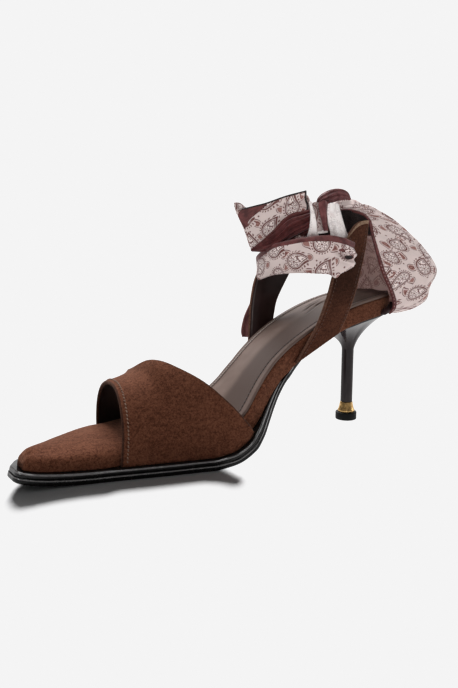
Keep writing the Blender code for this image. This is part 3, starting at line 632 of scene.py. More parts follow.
toe_cover = plan_solid("board_toe_cover", lambda x: board_lat(x) - 0.05, lambda x: board_med(x) + 0.05, board_start, COVER_END, 110, EDGE_SOFT, 14,
                       cover_top, lambda x, y, d: board["base"](x) - 0.15 + rounded(d, 0.5), [suede], walls=5)

# ------------------------------------------------------------------ insole
SOCK_STITCH_IN = 3.6       # stitched line inside the sock's edge
SOCK_CROWN = 1.1           # rise of the padded middle
SOCK_RIDGE = 0.50          # place of its ridge across the width, from the outer edge


def sock_lat(x):
    return board_lat(x) + inset["insole"](x)


def sock_med(x):
    return board_med(x) - inset["insole"](x)


def under_sock(x, y):
    r = min(board["edge"](x), 0.45 * (board_med(x) - board_lat(x)))
    c = board["crown"](x)
    return board["top"](x) + c * (1 - across(x, y, r) ** 2) + max(0.0, c) * 0.06


# Soft creases across the waist of the sock: place along and across, slant, length, depth.
SOCK_CREASES = table("x y slant half depth", (
    (196.0, 9.0, 1.45, 7.0, 0.62), (193.0, 5.8, 1.35, 8.0, 0.66), (199.0, 3.0, 1.50, 7.0, 0.60), (190.0, 1.0, 1.30, 6.5, 0.46),
))


def sock_crease(x, y):
    """Depth of the creases: each is a soft trough with a lip beside it."""
    total = 0.0
    for cx, cy, slant, half, depth in zip(*(SOCK_CREASES[k] for k in ("x", "y", "slant", "half", "depth"))):
        along = (y - cy) * math.cos(slant) + (x - cx) * math.sin(slant)
        off = (x - cx) * math.cos(slant) - (y - cy) * math.sin(slant)
        fade = math.exp(-(along / half) ** 4)
        total += depth * fade * (math.exp(-(off / 0.8) ** 2) - 0.55 * math.exp(-((off - 1.7) / 0.9) ** 2))
    return total


def sock_top(x, y, d):
    n = under_sock(x, y) + GAP + INSOLE_T - rounded(d, 0.7)
    pad = 0.95 * ease(SOCK_STITCH_IN + 0.2, SOCK_STITCH_IN + 4.2, d)
    width = max(1.0, sock_med(x) - sock_lat(x))
    slope = ease(SOCK_STITCH_IN, max(SOCK_STITCH_IN + 2.0, SOCK_RIDGE * width), y - sock_lat(x))
    ridge = SOCK_CROWN * slope * ease(SOCK_STITCH_IN, SOCK_STITCH_IN + 9.0, sock_med(x) - y) * (1 - ease(196.0, 214.0, x))
    pad = pad * (0.12 + 0.88 * ease(196.0, 214.0, x)) + ridge
    groove = 0.32 * math.exp(-((d - SOCK_STITCH_IN) / 0.5) ** 2) * (1.0 if y < sock_lat(x) + width / 2 else 0.2)
    return n + pad - groove - sock_crease(x, y)


def sock_painted_shade(x, y, d):
    """Painted shade on the sock: a darker band along the outer half inside the stitches, where the padded middle falls
    towards its outer edge; painted shade along the stitched groove and in the creases; and a faint darkening on the
    margins.
    """
    from_outer = y - sock_lat(x)
    place = from_outer / max(1.0, sock_med(x) - sock_lat(x))
    band = ease(SOCK_STITCH_IN - 0.6, SOCK_STITCH_IN + 1.2, from_outer) * (1 - ease(0.40, 0.56, place))
    margin = 0.34 * (1 - ease(SOCK_STITCH_IN - 1.0, SOCK_STITCH_IN + 0.4, from_outer))
    # Painted shade along the stitched groove.
    groove_shade = 1.35 * math.exp(-((from_outer - SOCK_STITCH_IN) / 0.45) ** 2)
    far = 0.45 * (1 - ease(SOCK_STITCH_IN - 1.4, SOCK_STITCH_IN - 0.5, sock_med(x) - y))
    # The creases' troughs are darkened as painted shade.
    return min(2.0, max(band * (1 - 0.35 * ease(165.0, 200.0, x)), margin, far) + groove_shade + 3.0 * max(0.0, sock_crease(x, y)))


EDGE_SOCK = (0.0, 0.1, 0.3, 0.6, 1.0, 1.6, 2.3, 3.0, 3.3, 3.6, 3.9, 4.3, 5.0, 6.0, 7.2, 8.6)
# The sock's tint paints shade: a band along its outer half, the stitched groove and the creases.
insole = plan_solid("sock_insole", sock_lat, sock_med, INSOLE_START, 238.0, 260, EDGE_SOCK, 40, sock_top,
                    lambda x, y, d: under_sock(x, y) + GAP * 0.5, [sock], tint=sock_painted_shade)
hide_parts("insole")

for side, edge, sign in (("lateral", sock_lat, 1), ("medial", sock_med, -1)):
    line, normals = [], []
    for x in np.linspace(102.0, 228.0, 240):
        step = np.array((1.0, (edge(x + 0.5) - edge(x - 0.5))))
        step /= np.linalg.norm(step)
        px, py = x - step[1] * SOCK_STITCH_IN * sign, edge(x) + step[0] * SOCK_STITCH_IN * sign
        line.append(at_station(px, py, under_sock(px, py) + GAP + INSOLE_T - (0.20 if side == "lateral" else -0.24)))
        a = float(np.interp(px, _fine_x, _fine_a))
        normals.append((-math.sin(a), 0.0, math.cos(a)))
    # On the inner side the pale stitches run together into a painted highlight line.
    pitch, length, thread = (2.6, 1.9, thread_sock) if side == "lateral" else (1.4, 1.3, thread_sock_painted_highlight)
    stitches = stitch_row(f"sock_stitches_{side}", line, normals, pitch, length, 0.24 if side == "lateral" else 0.34, thread)

# ------------------------------------------------------------------ vamp
_foot_s = np.linspace(20.0, 150.0, 521)
_foot = [at_station(x, 0.0, board["base"](x)) for x in _foot_s]
_foot_x, _foot_z = [p[0] for p in _foot], [p[2] for p in _foot]
vamp_front = pchip(VAMP_EDGE["girth"], VAMP_EDGE["front"])
vamp_rear = pchip(VAMP_EDGE["girth"], VAMP_EDGE["rear"])
crest = {name: pchip(VAMP_CREST["x"], VAMP_CREST[name]) for name in ("crest_z", "crest_y", "power")}


def vamp_point(girth, v):
    x = vamp_front(girth) + (vamp_rear(girth) - vamp_front(girth)) * v
    station = float(np.interp(x, _foot_x, _foot_s))
    base = float(np.interp(x, _foot_x, _foot_z))
    reach = VAMP_LEDGE + VAMP_T / 2
    lat, med = edge_lateral(station) + reach, edge_medial(station) - reach
    mid, power = crest["crest_y"](x), crest["power"](x)
    a = math.pi * girth
    c, s = math.cos(a), max(0.0, math.sin(a))
    half = (mid - lat) if c > 0 else (med - mid)
    y = mid - math.copysign(abs(c) ** (2 / power), c) * half
    return (x, y, base + (crest["crest_z"](x) - base) * s ** (2 / power))


def girth_at(t):
    return t - 0.055 * math.sin(2 * math.pi * t)


VAMP_GIRTHS = [girth_at(t) for t in np.linspace(0.0, 1.0, 121)]
VAMP_LENGTHS = [0.5 - 0.5 * math.cos(math.pi * (0.08 + 0.84 * t)) for t in np.linspace(0, 1, 46)]
VAMP_LENGTHS = [(v - VAMP_LENGTHS[0]) / (VAMP_LENGTHS[-1] - VAMP_LENGTHS[0]) for v in VAMP_LENGTHS]
vamp, vamp_grid, vamp_normal = thick_sheet("upper_vamp", vamp_point, VAMP_GIRTHS, VAMP_LENGTHS, VAMP_T, [suede, lining, rim_dark], edge=5,
                                            outward=-1)
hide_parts("vamp")

# Stitch line behind the turned front edge.
FRONT_STITCH_IN = 2.0
line, normals = [], []
for i in range(len(VAMP_GIRTHS)):
    gaps = np.concatenate([[0], np.cumsum(np.linalg.norm(np.diff(vamp_grid[i], axis=0), axis=1))])
    point = np.array([np.interp(FRONT_STITCH_IN, gaps, vamp_grid[i, :, k]) for k in range(3)])
    normal = np.array([np.interp(FRONT_STITCH_IN, gaps, vamp_normal[i, :, k]) for k in range(3)])
    line.append(point + normal * VAMP_T / 2)
    normals.append(normal)
vamp_stitches = stitch_row("vamp_stitches", line, normals, 1.9, 1.5, 0.30, thread_tan, slant=0.35, skip=1.0)


# ------------------------------------------------------------------ heel straps
STRAP_ROLL, STRAP_ROLL_WIDTH = 2.0, 5.5   # the inner strap's front edge rolls outwards
STRAP_ARCH = 2.2                          # the outer strap's top end is cut in a curve


def strap(name, tab, node, outward):
    path = rows_curve(tab, ("xf", "zf", "xb", "zb", "yf", "yb"))

    def point(u, v):
        xf, zf, xb, zb, yf, yb = path(u)
        v = v if outward > 0 else 1 - v
        from_front = v * math.hypot(xb - xf, zb - zf)
        roll_out = STRAP_ROLL * max(0.0, 1 - from_front / STRAP_ROLL_WIDTH) ** 2 if outward < 0 else 0.0
        arch = STRAP_ARCH * math.sin(math.pi * v) * ease(0.86, 1.0, u) if outward > 0 else 0.0
        return (xf + (xb - xf) * v - 0.4 * arch, yf + (yb - yf) * v + roll_out, zf + (zb - zf) * v + arch)
    us = np.linspace(0, 1, 90)
    vs = [0.5 - 0.5 * math.cos(math.pi * t) for t in np.linspace(0, 1, 18)]
    obj, grid, normal = thick_sheet(name, point, us, vs, STRAP_T, [suede_strap, lining_strap, suede_cut, suede_tan], edge=5, bulge=0.15,
                                    outward=-1)
    ring = 2 * len(vs) + 2 * 5
    for polygon in obj.data.polygons:
        if (len(us) - 4) * ring <= polygon.index < (len(us) - 1) * ring:
            polygon.material_index = 3
    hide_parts(node)
    for side in (0, 1):
        line, normals = [], []
        for i in range(3, 87):
            r = grid[i] if side == 0 else grid[i][::-1]
            q = normal[i] if side == 0 else normal[i][::-1]
            gaps = np.concatenate([[0], np.cumsum(np.linalg.norm(np.diff(r, axis=0), axis=1))])
            line.append(np.array([np.interp(1.7, gaps, r[:, k]) for k in range(3)]) + q[2] * (STRAP_T / 2 + 0.08))
            normals.append(q[2])
        stitches = stitch_row(f"{name}_stitches_{side}", line, normals, 2.1, 1.5, 0.17, thread_brown, skip=1.0)
    return obj, grid


strap_lateral, _ = strap("strap_outer", STRAP_LATERAL, "strap_lateral", 1)
strap_medial, strap_medial_grid = strap("strap_inner", STRAP_MEDIAL, "strap_medial", -1)


# ------------------------------------------------------------------ heel
RING_TOP_Z = TIP_HEIGHT + GAP + RING_HEIGHT
STEM_BOTTOM_Z = RING_TOP_Z + GAP
HEEL_SIDES = 96


def cup_outline(angle):
    c, s = math.cos(angle), math.sin(angle)
    power = 2.2 if c > 0 else 3.4
    reach = CUP_BACK if c > 0 else CUP_FRONT
    return (HEEL_X + reach * math.copysign(abs(c) ** (2 / power), c),
            CUP_HALF_WIDTH * math.copysign(abs(s) ** (2 / power), s))


def heel_ring(level):
    ring = []
    for k in range(HEEL_SIDES):
        angle = 2 * math.pi * k / HEEL_SIDES
        stem = (HEEL_X + STEM_R * math.cos(angle), STEM_R * math.sin(angle))
        if level < 0:
            ring.append((*stem, STEM_TOP_Z + level * (STEM_TOP_Z - STEM_BOTTOM_Z)))
            continue
        seat = cup_outline(angle)
        seat_z = at_station(seat[0], 0.0, OUTSOLE_T)[2] - 0.1
        back = max(0.0, math.cos(angle))
        flare = (0.08 + 0.26 * back) * level + (0.92 - 0.26 * back) * level ** 2.1
        ring.append((stem[0] + (seat[0] - stem[0]) * flare, stem[1] + (seat[1] - stem[1]) * flare,
                     STEM_TOP_Z + (seat_z - STEM_TOP_Z) * level))
    return ring


levels = list(np.linspace(1.0, 0.0, 40)) + [-0.02, -0.1, -0.3, -0.6, -0.9, -0.985, -1.0]
verts = [p for level in levels for p in heel_ring(level)]
faces = grid_faces(len(levels), HEEL_SIDES, wrap=True)
seat_mid, stem_mid = len(verts), len(verts) + 1
verts += [(HEEL_X, 0.0, at_station(HEEL_X, 0.0, OUTSOLE_T)[2] - 0.4), (HEEL_X, 0.0, STEM_BOTTOM_Z)]
last = (len(levels) - 1) * HEEL_SIDES
faces += [(seat_mid, (k + 1) % HEEL_SIDES, k) for k in range(HEEL_SIDES)]
faces += [(stem_mid, last + k, last + (k + 1) % HEEL_SIDES) for k in range(HEEL_SIDES)]
# The cup's top band and its cap take the near-black painted shadow.
kinds = [1 if levels[k // HEEL_SIDES] > 0.945 else 0 for k in range((len(levels) - 1) * HEEL_SIDES)] + [1] * HEEL_SIDES + [0] * HEEL_SIDES
heel = make_object("heel_stiletto", verts, faces, [lacquer, seat_painted_shadow], kinds, smooth_angle=50)
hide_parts("heel")

LOW = TIP_HEIGHT + GAP
ring = turned("heel_collar", [(0.0, RING_TOP_Z), (RING_R_TOP - 0.35, RING_TOP_Z), (RING_R_TOP - 0.12, RING_TOP_Z - 0.1),
                              (RING_R_TOP, RING_TOP_Z - 0.4), (RING_R_TOP + 0.25, RING_TOP_Z - 2.0),
                              (RING_R_LOW - 0.45, LOW + 1.5), (RING_R_LOW - 0.1, LOW + 1.1), (RING_R_LOW, LOW + 0.75),
                              (RING_R_LOW - 0.08, LOW + 0.3), (RING_R_LOW - 0.3, LOW), (0.0, LOW)], (HEEL_X, 0.0), [gold])
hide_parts("heel_ring")
tip = turned("heel_top_piece", [(0.0, TIP_HEIGHT), (TIP_R - 0.45, TIP_HEIGHT), (TIP_R - 0.2, TIP_HEIGHT - 0.06),
                                (TIP_R - 0.05, TIP_HEIGHT - 0.22), (TIP_R, TIP_HEIGHT - 0.5), (TIP_R, 2.0), (TIP_R, 0.45),
                                (TIP_R - 0.08, 0.15), (TIP_R - 0.3, 0.0), (0.0, 0.0)], (HEEL_X, 0.0), [rubber])
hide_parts("heel_tip")

# ------------------------------------------------------------------ scarf: cloth builders
CAMERA = np.array((-100.34, -342.12, 130.55))
_pitch, _yaw = math.radians(10.36), math.radians(33.36)
LOOK = np.array((math.sin(_yaw) * math.cos(_pitch), math.cos(_yaw) * math.cos(_pitch), -math.sin(_pitch)))
ACROSS = np.array((math.cos(_yaw), -math.sin(_yaw), 0.0))
RISE = np.cross(ACROSS, LOOK)


def sight(across_px, down_px, y):
    """Point seen from the camera at a place in the 458 by 688 frame, in the upright plane at depth y."""
    ray = LOOK + ACROSS * (across_px - 229.0) / 760.0 + RISE * (344.0 - down_px) / 760.0
    return CAMERA + ray * (y - CAMERA[1]) / ray[1]


def resample(knots, count):
    """Smooth curve through equally spaced knots, along the first axis."""
    knots = np.asarray(knots, float)
    tangent = np.gradient(knots, axis=0)
    t = np.linspace(0, len(knots) - 1, count)
    i = np.minimum(t.astype(int), len(knots) - 2)
    f = (t - i).reshape((-1,) + (1,) * (knots.ndim - 1))
    return (knots[i] * (1 + 2 * f) * (1 - f) ** 2 + knots[i + 1] * f * f * (3 - 2 * f)
            + tangent[i] * f * (1 - f) ** 2 - tangent[i + 1] * f * f * (1 - f))


def patch(knots, nu, nv):
    """Smooth surface through rows of knots."""
    return resample(resample(knots, nu).swapaxes(0, 1), nv).swapaxes(0, 1)


def surface_normals(grid, flip=1):
    du, dv = np.gradient(grid, axis=0), np.gradient(grid, axis=1)
    n = np.cross(du, dv) * flip
    return n / np.maximum(np.linalg.norm(n, axis=2), 1e-9)[:, :, None]


def lengths(grid):
    """Distances over the cloth, in millimetres: along each column's start and centred across each row."""
    along = np.linalg.norm(np.diff(grid, axis=0), axis=2).mean(1)
    s = np.concatenate([[0], np.cumsum(along)])[:, None] * np.ones(grid.shape[1])[None]
    step = np.linalg.norm(np.diff(grid, axis=1), axis=2)
    t = np.concatenate([np.zeros((grid.shape[0], 1)), np.cumsum(step, axis=1)], axis=1)
    return s, t


def cloth_data(grid, flip=1, thickness=0.36, shift=(0.0, 0.0), spin=0.0, border=None, dents=None, border_in=None):
    """Thin sheet with an inner and an outer face.  border gives how far inside the dark border a place lies."""
    nu, nv = grid.shape[:2]
    s, t = lengths(grid)
    u, v = np.meshgrid(np.linspace(0, 1, nu), np.linspace(0, 1, nv), indexing="ij")
    if dents is not None:
        grid = grid + surface_normals(grid, flip) * dents(u, v, s, t)[:, :, None]
    normal = surface_normals(grid, flip)
    w = np.full((nu, nv), -9.0) if border is None else border(u, v, s, t)
    c, d = math.cos(spin), math.sin(spin)
    tc = t - t[:, -1:] / 2
    coords = np.stack([c * s - d * tc + shift[0], d * s + c * tc + shift[1], w], axis=2).reshape(-1, 3)
    upper, lower = grid + normal * thickness / 2, grid - normal * thickness / 2
    verts = np.concatenate([upper.reshape(-1, 3), lower.reshape(-1, 3)])
    count = nu * nv
    faces = grid_faces(nu, nv) + [tuple(reversed(f)) for f in grid_faces(nu, nv, count)]
    kind = [0] * (len(faces) // 2) + [1] * (len(faces) // 2)
    rim = ([i * nv for i in range(nu)] + [(nu - 1) * nv + j for j in range(1, nv)]
           + [i * nv + nv - 1 for i in range(nu - 2, -1, -1)] + [j for j in range(nv - 2, 0, -1)])
    for a, b in zip(rim, rim[1:] + rim[:1]):
        faces.append((a, b, count + b, count + a))
        kind.append(0)
    inside = coords.copy()
    if border_in is not None:
        inside[:, 2] = border_in(u, v, s, t).ravel()
    return verts, faces, kind, np.concatenate([coords, inside])


def cloth(name, grid, materials, **how):
    verts, faces, kind, coords = cloth_data(grid, **how)
    return make_object(name, verts, faces, materials, kind, coords)


def flat_size(grid):
    """Cloth used by a sheet: its mean width and length, in metres."""
    s, t = lengths(grid)
    return (float(t[:, -1].mean()) * MM, float(s[-1, 0]) * MM)


# ------------------------------------------------------------------ scarf: printed and plain silk
GROUND, PALE = (0.63, 0.520, 0.495), (0.86, 0.765, 0.735)
INK, LEAF = (0.118, 0.028, 0.023), (0.235, 0.072, 0.054)
OXBLOOD_DARK, OXBLOOD = (0.056, 0.0120, 0.0118), (0.140, 0.0350, 0.0335)
# Near-black for hems and for painted shade in deep hollows.
HEM_AND_SHADE_BLACK = (0.010, 0.0045, 0.0045)


def cells(g, x, y, pitch, offset):
    """Half-drop repeat: place inside the cell, and chance numbers of the cell."""
    u = g.math("DIVIDE", g.math("ADD", x, offset[0]), pitch[0])
    column = g.math("FLOOR", u)
    drop = g.math("MULTIPLY", g.math("FLOORED_MODULO", column, 2.0), 0.5)
    v = g.math("ADD", g.math("DIVIDE", g.math("ADD", y, offset[1]), pitch[1]), drop)
    level = g.math("FLOOR", v)
    lx = g.math("MULTIPLY", g.math("SUBTRACT", g.math("FRACT", u), 0.5), pitch[0])
    ly = g.math("MULTIPLY", g.math("SUBTRACT", g.math("FRACT", v), 0.5), pitch[1])
    n = g.node("TexWhiteNoise", noise_dimensions="2D")
    g.feed(n.inputs["Vector"], g.node("CombineXYZ", {"X": column, "Y": level}).outputs[0])
    split = g.node("SeparateColor", {"Color": n.outputs["Color"]})
    return lx, ly, split.outputs[0], split.outputs[1], split.outputs[2]


def teardrop(g, lx, ly, turn_by, radius, tail, curl, narrow=10.0):
    """Field of a curled teardrop: its own angle, and 1 on its outline."""
    c, s = g.math("COSINE", turn_by), g.math("SINE", turn_by)
    qx = g.math("ADD", g.math("MULTIPLY", lx, c), g.math("MULTIPLY", ly, s))
    qy = g.math("SUBTRACT", g.math("MULTIPLY", ly, c), g.math("MULTIPLY", lx, s))
    qx = g.math("ADD", qx, g.math("MULTIPLY", tail, g.math("MULTIPLY", radius, 0.35)))
    r = g.math("SQRT", g.math("ADD", g.math("MULTIPLY", qx, qx), g.math("MULTIPLY", qy, qy)))
    a = g.math("SUBTRACT", g.math("ARCTAN2", qy, qx), g.math("MULTIPLY", r, curl))
    swing = g.math("MAXIMUM", g.math("MULTIPLY_ADD", g.math("ABSOLUTE", a), -1 / math.pi, 1.0), 0.0)
    lobe = g.math("MULTIPLY_ADD", g.math("POWER", swing, narrow), 0.62, g.math("MULTIPLY", g.math("POWER", swing, 2.2), 0.38))
    reach = g.math("MULTIPLY", radius, g.math("MULTIPLY_ADD", lobe, tail, 1.0))
    return a, g.math("DIVIDE", r, reach), r


def near(g, value, centre, width):
    return g.math("COMPARE", value, centre, width)


def both(g, a, b):
    return g.math("MULTIPLY", a, b)


def either(g, *values):
    out = values[0]
    for v in values[1:]:
        out = g.math("MAXIMUM", out, v)
    return out


def paisley_colour(g, place):
    """Printed pattern: large pale teardrops with flowers inside, small dark leaves between, and dots."""
    split = g.node("SeparateXYZ", {"Vector": place})
    x, y = (g.math("MULTIPLY", k, 0.80) for k in split.outputs[:2])
    # Large teardrops and rosettes.
    lx, ly, c1, c2, c3 = cells(g, x, y, (11.0, 13.0), (3.0, 1.0))
    turn_by = g.math("MULTIPLY_ADD", c1, 1.7, g.math("MULTIPLY_ADD", g.math("GREATER_THAN", c3, 0.5), 3.1416, 0.9))
    tail = g.math("MULTIPLY_ADD", c2, 0.5, 1.25)
    radius = g.math("MULTIPLY_ADD", c3, 0.5, 2.55)
    a, rho, r = teardrop(g, lx, ly, turn_by, radius, tail, g.math("MULTIPLY_ADD", c2, 0.06, 0.05))
    outline = near(g, rho, 1.0, 0.105)
    inner = near(g, rho, 0.80, 0.050)
    fringe = both(g, near(g, rho, 1.27, 0.10), g.math("GREATER_THAN", g.math("SINE", g.math("MULTIPLY", a, 22.0)), 0.05))
    petals = g.math("MULTIPLY", rho, g.math("MULTIPLY_ADD", g.math("COSINE", g.math("MULTIPLY", a, 7.0)), 0.28, 1.0))
    flower = either(g, near(g, petals, 0.44, 0.075), g.math("LESS_THAN", rho, 0.13),
                    both(g, near(g, rho, 0.24, 0.05), g.math("GREATER_THAN", g.math("SINE", g.math("MULTIPLY", a, 8.0)), 0.0)))
    beads = both(g, near(g, rho, 0.63, 0.05), g.math("GREATER_THAN", g.math("SINE", g.math("MULTIPLY", a, 18.0)), 0.25))
    big_ink = either(g, outline, inner, fringe, flower, beads)
    big_pale = g.math("LESS_THAN", rho, 1.0)
    around_big = g.math("LESS_THAN", rho, 1.5)
    # Small leaves in the gaps.
    lx, ly, d1, d2, d3 = cells(g, x, y, (11.0, 6.5), (8.5, 4.2))
    turn_by = g.math("MULTIPLY", d1, 6.283)
    b, small, _ = teardrop(g, lx, ly, turn_by, g.math("MULTIPLY_ADD", d2, 0.5, 1.15), g.math("MULTIPLY_ADD", d3, 0.7, 1.5), 0.14, 8.0)
    clear = g.math("SUBTRACT", 1.0, around_big)
    leaf_fill = both(g, g.math("LESS_THAN", small, 0.74), clear)
    leaf_ink = both(g, either(g, near(g, small, 1.0, 0.10), both(g, near(g, small, 0.38, 0.10), g.math("GREATER_THAN", d2, 0.4))), clear)
    # Dots.
    lx, ly, e1, e2, e3 = cells(g, x, y, (4.3, 4.9), (1.2, 0.7))
    ox, oy = g.math("MULTIPLY_ADD", e1, 2.4, -1.2), g.math("MULTIPLY_ADD", e2, 2.4, -1.2)
    dx, dy = g.math("SUBTRACT", lx, ox), g.math("SUBTRACT", ly, oy)
    dot = g.math("SQRT", g.math("ADD", g.math("MULTIPLY", dx, dx), g.math("MULTIPLY", dy, dy)))
    free = both(g, clear, g.math("GREATER_THAN", small, 1.35))
    dots = both(g, both(g, g.math("LESS_THAN", dot, 0.42), free), g.math("GREATER_THAN", e3, 0.35))
    fade = g.noise(place, 0.35, 3.0, 0.6)
    ink = g.math("MULTIPLY", either(g, big_ink, leaf_ink, dots), g.ramp(fade, 0.25, 0.6, 0.72, 0.97))
    ground = g.mix(g.ramp(g.noise(place, 0.12, 3.0), 0.3, 0.7), GROUND, tuple(c * 1.08 for c in GROUND))
    colour = g.mix(g.math("MULTIPLY", big_pale, 0.65), ground, PALE)
    colour = g.mix(g.math("MULTIPLY", leaf_fill, 0.85), colour, LEAF)
    return g.mix(ink, colour, INK)


def weave_bump(g, place, folds=0.5):
    """Fine twill lines and small soft creases."""
    split = g.node("SeparateXYZ", {"Vector": place})
    twill = g.math("SINE", g.math("MULTIPLY", g.math("ADD", split.outputs[0], split.outputs[1]), 18.0))
    soft = g.noise(place, 0.22, 3.0, 0.5, 0.3)
    height = g.math("MULTIPLY_ADD", twill, 0.02, g.math("MULTIPLY", soft, folds))
    return g.bump(height, 0.0012, 0.45)


def silk_material(name, veil=0.0, veil_colour=(0.16, 0.062, 0.055)):
    """Printed silk with a dark border where the cloth says so; a veil gives its reverse a paler tone, partly painted
    light for light coming through the silk, and a dark veil paints the shade of a shaded fold.
    """
    g = Graph(name, Roughness=0.58, Specular_IOR_Level=0.35, Sheen_Weight=0.15, Sheen_Roughness=0.4)
    attribute = g.node("Attribute", attribute_name="cloth")
    place = attribute.outputs["Vector"]
    printed = paisley_colour(g, place)
    if veil:
        printed = g.mix(veil, printed, veil_colour)
    edge = g.node("SeparateXYZ", {"Vector": place}).outputs[2]
    cloudy = g.noise(place, 0.25, 3.0, 0.6)
    dark = g.mix(g.ramp(cloudy, 0.3, 0.7), OXBLOOD_DARK, OXBLOOD)
    colour = g.mix(g.math("GREATER_THAN", edge, 0.0), printed, dark)
    # Above 50 the cloth is near-black: the wing's hem, and painted shade deep in the band's tucked mouth and in the
    # hollow under the knot.
    colour = g.mix(g.math("GREATER_THAN", edge, 50.0), colour, HEM_AND_SHADE_BLACK)
    return g.out(Base_Color=colour, Normal=weave_bump(g, place))


def plain_silk_material(name, dark, light):
    g = Graph(name, Roughness=0.5, Specular_IOR_Level=0.18, Sheen_Weight=0.08, Sheen_Roughness=0.4)
    place = g.node("Attribute", attribute_name="cloth").outputs["Vector"]
    cloudy = g.noise(place, 0.2, 3.0, 0.6, 0.5)
    threads = g.noise(g.vec("MULTIPLY", place, (0.6, 5.0, 1.0)), 0.8, 2.0, 0.5)
    level = g.math("MULTIPLY_ADD", g.math("SUBTRACT", threads, 0.5), 0.5, g.ramp(cloudy, 0.25, 0.75))
    return g.out(Base_Color=g.mix(level, dark, light), Normal=weave_bump(g, place, 0.7))


silk = silk_material("silk_printed")
# The reverse: the paler tone of the back of the silk, lightened further as painted light for light coming through it.
silk_back = silk_material("silk_reverse", 0.38, (0.98, 0.66, 0.60))
silk_light = silk_material("silk_light", 0.68, (1.0, 0.955, 0.935))
silk_shade = silk_material("silk_shaded", 0.55, (0.080, 0.038, 0.034))
silk_loop = plain_silk_material("silk_loop", (0.062, 0.0150, 0.0155), (0.200, 0.0680, 0.0680))
oxblood = plain_silk_material("silk_oxblood", OXBLOOD_DARK, OXBLOOD)
# Near-black silk: painted shadow for the knot's core and the panel's turned-under corner.
shadow_silk = plain_silk_material("silk_painted_shadow", (0.010, 0.003, 0.003), (0.030, 0.008, 0.008))
# A lighter copy of the oxblood silk: painted light on the scarf end, which hangs in shade outside the inner strap.
silk_end_painted_light = plain_silk_material("silk_end_painted_light", (0.120, 0.042, 0.040), (0.230, 0.092, 0.087))
thread_pink = thread_material("thread_pink", (0.42, 0.22, 0.20))

# ------------------------------------------------------------------ scarf: panel round the heel
# One row for each height: near edge, near side and back, seen from above; the inner side mirrors it.
PANEL = table("z edge_x edge_y side_x side_y back_x", (
    (67.2, 225.6, 19.8, 238.5, 18.6, 245.5), (70.0, 227.4, 21.6, 243.0, 24.6, 251.0), (75.0, 226.6, 22.8, 247.4, 28.8, 257.6),
    (83.0, 222.4, 23.2, 248.0, 30.6, 258.6), (92.5, 217.0, 22.6, 249.6, 32.6, 260.2), (104.0, 212.2, 21.8, 242.0, 29.6, 251.6),
    (113.5, 208.8, 21.0, 232.8, 25.4, 241.6), (121.0, 207.8, 19.4, 225.4, 20.6, 232.6),
))
# Where the panel's top gathers into the knot: outer edge, outer side, ridge, inner side, inner edge.
GATHER = (
    ((204.6, -18.8, 124.6), (216.5, -17.5, 126.2), (223.0, 0.0, 126.8), (217.5, 13.5, 126.4), (206.5, 14.0, 125.0)),
    ((199.4, -17.6, 126.6), (208.0, -16.8, 129.6), (213.0, -3.5, 131.6), (208.8, 5.0, 130.4), (201.0, 5.5, 127.6)),
    ((193.6, -16.4, 127.6), (200.0, -16.0, 130.8), (203.4, -8.0, 133.0), (200.2, -2.5, 131.6), (195.5, -2.0, 128.4)),
    ((188.6, -15.4, 127.2), (192.4, -15.4, 130.4), (194.4, -10.6, 132.6), (192.4, -7.0, 131.2), (190.0, -6.6, 127.8)),
    ((184.4, -14.6, 125.4), (186.6, -14.8, 127.6), (187.4, -12.0, 129.2), (186.6, -9.4, 128.2), (185.0, -9.0, 126.0)),
)
panel_rows = []
for z, ex, ey, sx, sy, bx in zip(*(PANEL[k] for k in ("z", "edge_x", "edge_y", "side_x", "side_y", "back_x"))):
    panel_rows.append([(ex, -ey, z), ((ex + sx) / 2, -(ey + sy) / 2 - 1.0, z), (sx, -sy, z), ((sx + 2 * bx) / 3, -sy * 0.62, z), (bx, 0.0, z),
                       ((sx + 2 * bx) / 3, sy * 0.62, z), (sx, sy, z), ((ex + sx) / 2, (ey + sy) / 2 + 1.0, z), (ex, ey, z)])
for edge, side, ridge, side_in, edge_in in GATHER:
    e, s, r, t, f = (np.array(p) for p in (edge, side, ridge, side_in, edge_in))
    panel_rows.append([e, (e + s) / 2, s, s * 0.45 + r * 0.55 + (0, 0, 0.5), r, t * 0.45 + r * 0.55 + (0, 0, 0.5), t, (t + f) / 2, f])
panel = patch(panel_rows, 190, 170)


def panel_dents(u, v, s, t):
    """Soft folds: pleats that run into the knot, a long fold behind the near edge and a sag at the foot."""
    top = np.clip((u - 0.52) / 0.36, 0, 1) ** 2
    pleats = top * (0.9 * np.sin(v * 41.0 + 1.3 * np.sin(u * 9.0)) + 0.35 * np.sin(v * 77.0 + 0.6))
    line = 0.262 + 0.10 * np.clip((0.60 - u) / 0.60, 0, 1)
    body = np.clip(u / 0.10, 0, 1) * np.clip((0.86 - u) / 0.12, 0, 1)
    long_fold = body * (1.3 * np.exp(-((v - line) / 0.020) ** 2) - 1.8 * np.exp(-((v - line - 0.052) / 0.028) ** 2))
    second = 0.7 * body * np.exp(-((v - 0.17 - 0.03 * np.sin(u * 5)) / 0.03) ** 2)
    rear = body * 0.9 * np.sin(v * 26.0 + 2.0 * u) * np.clip((v - 0.42) / 0.1, 0, 1)
    return pleats + long_fold + second + rear


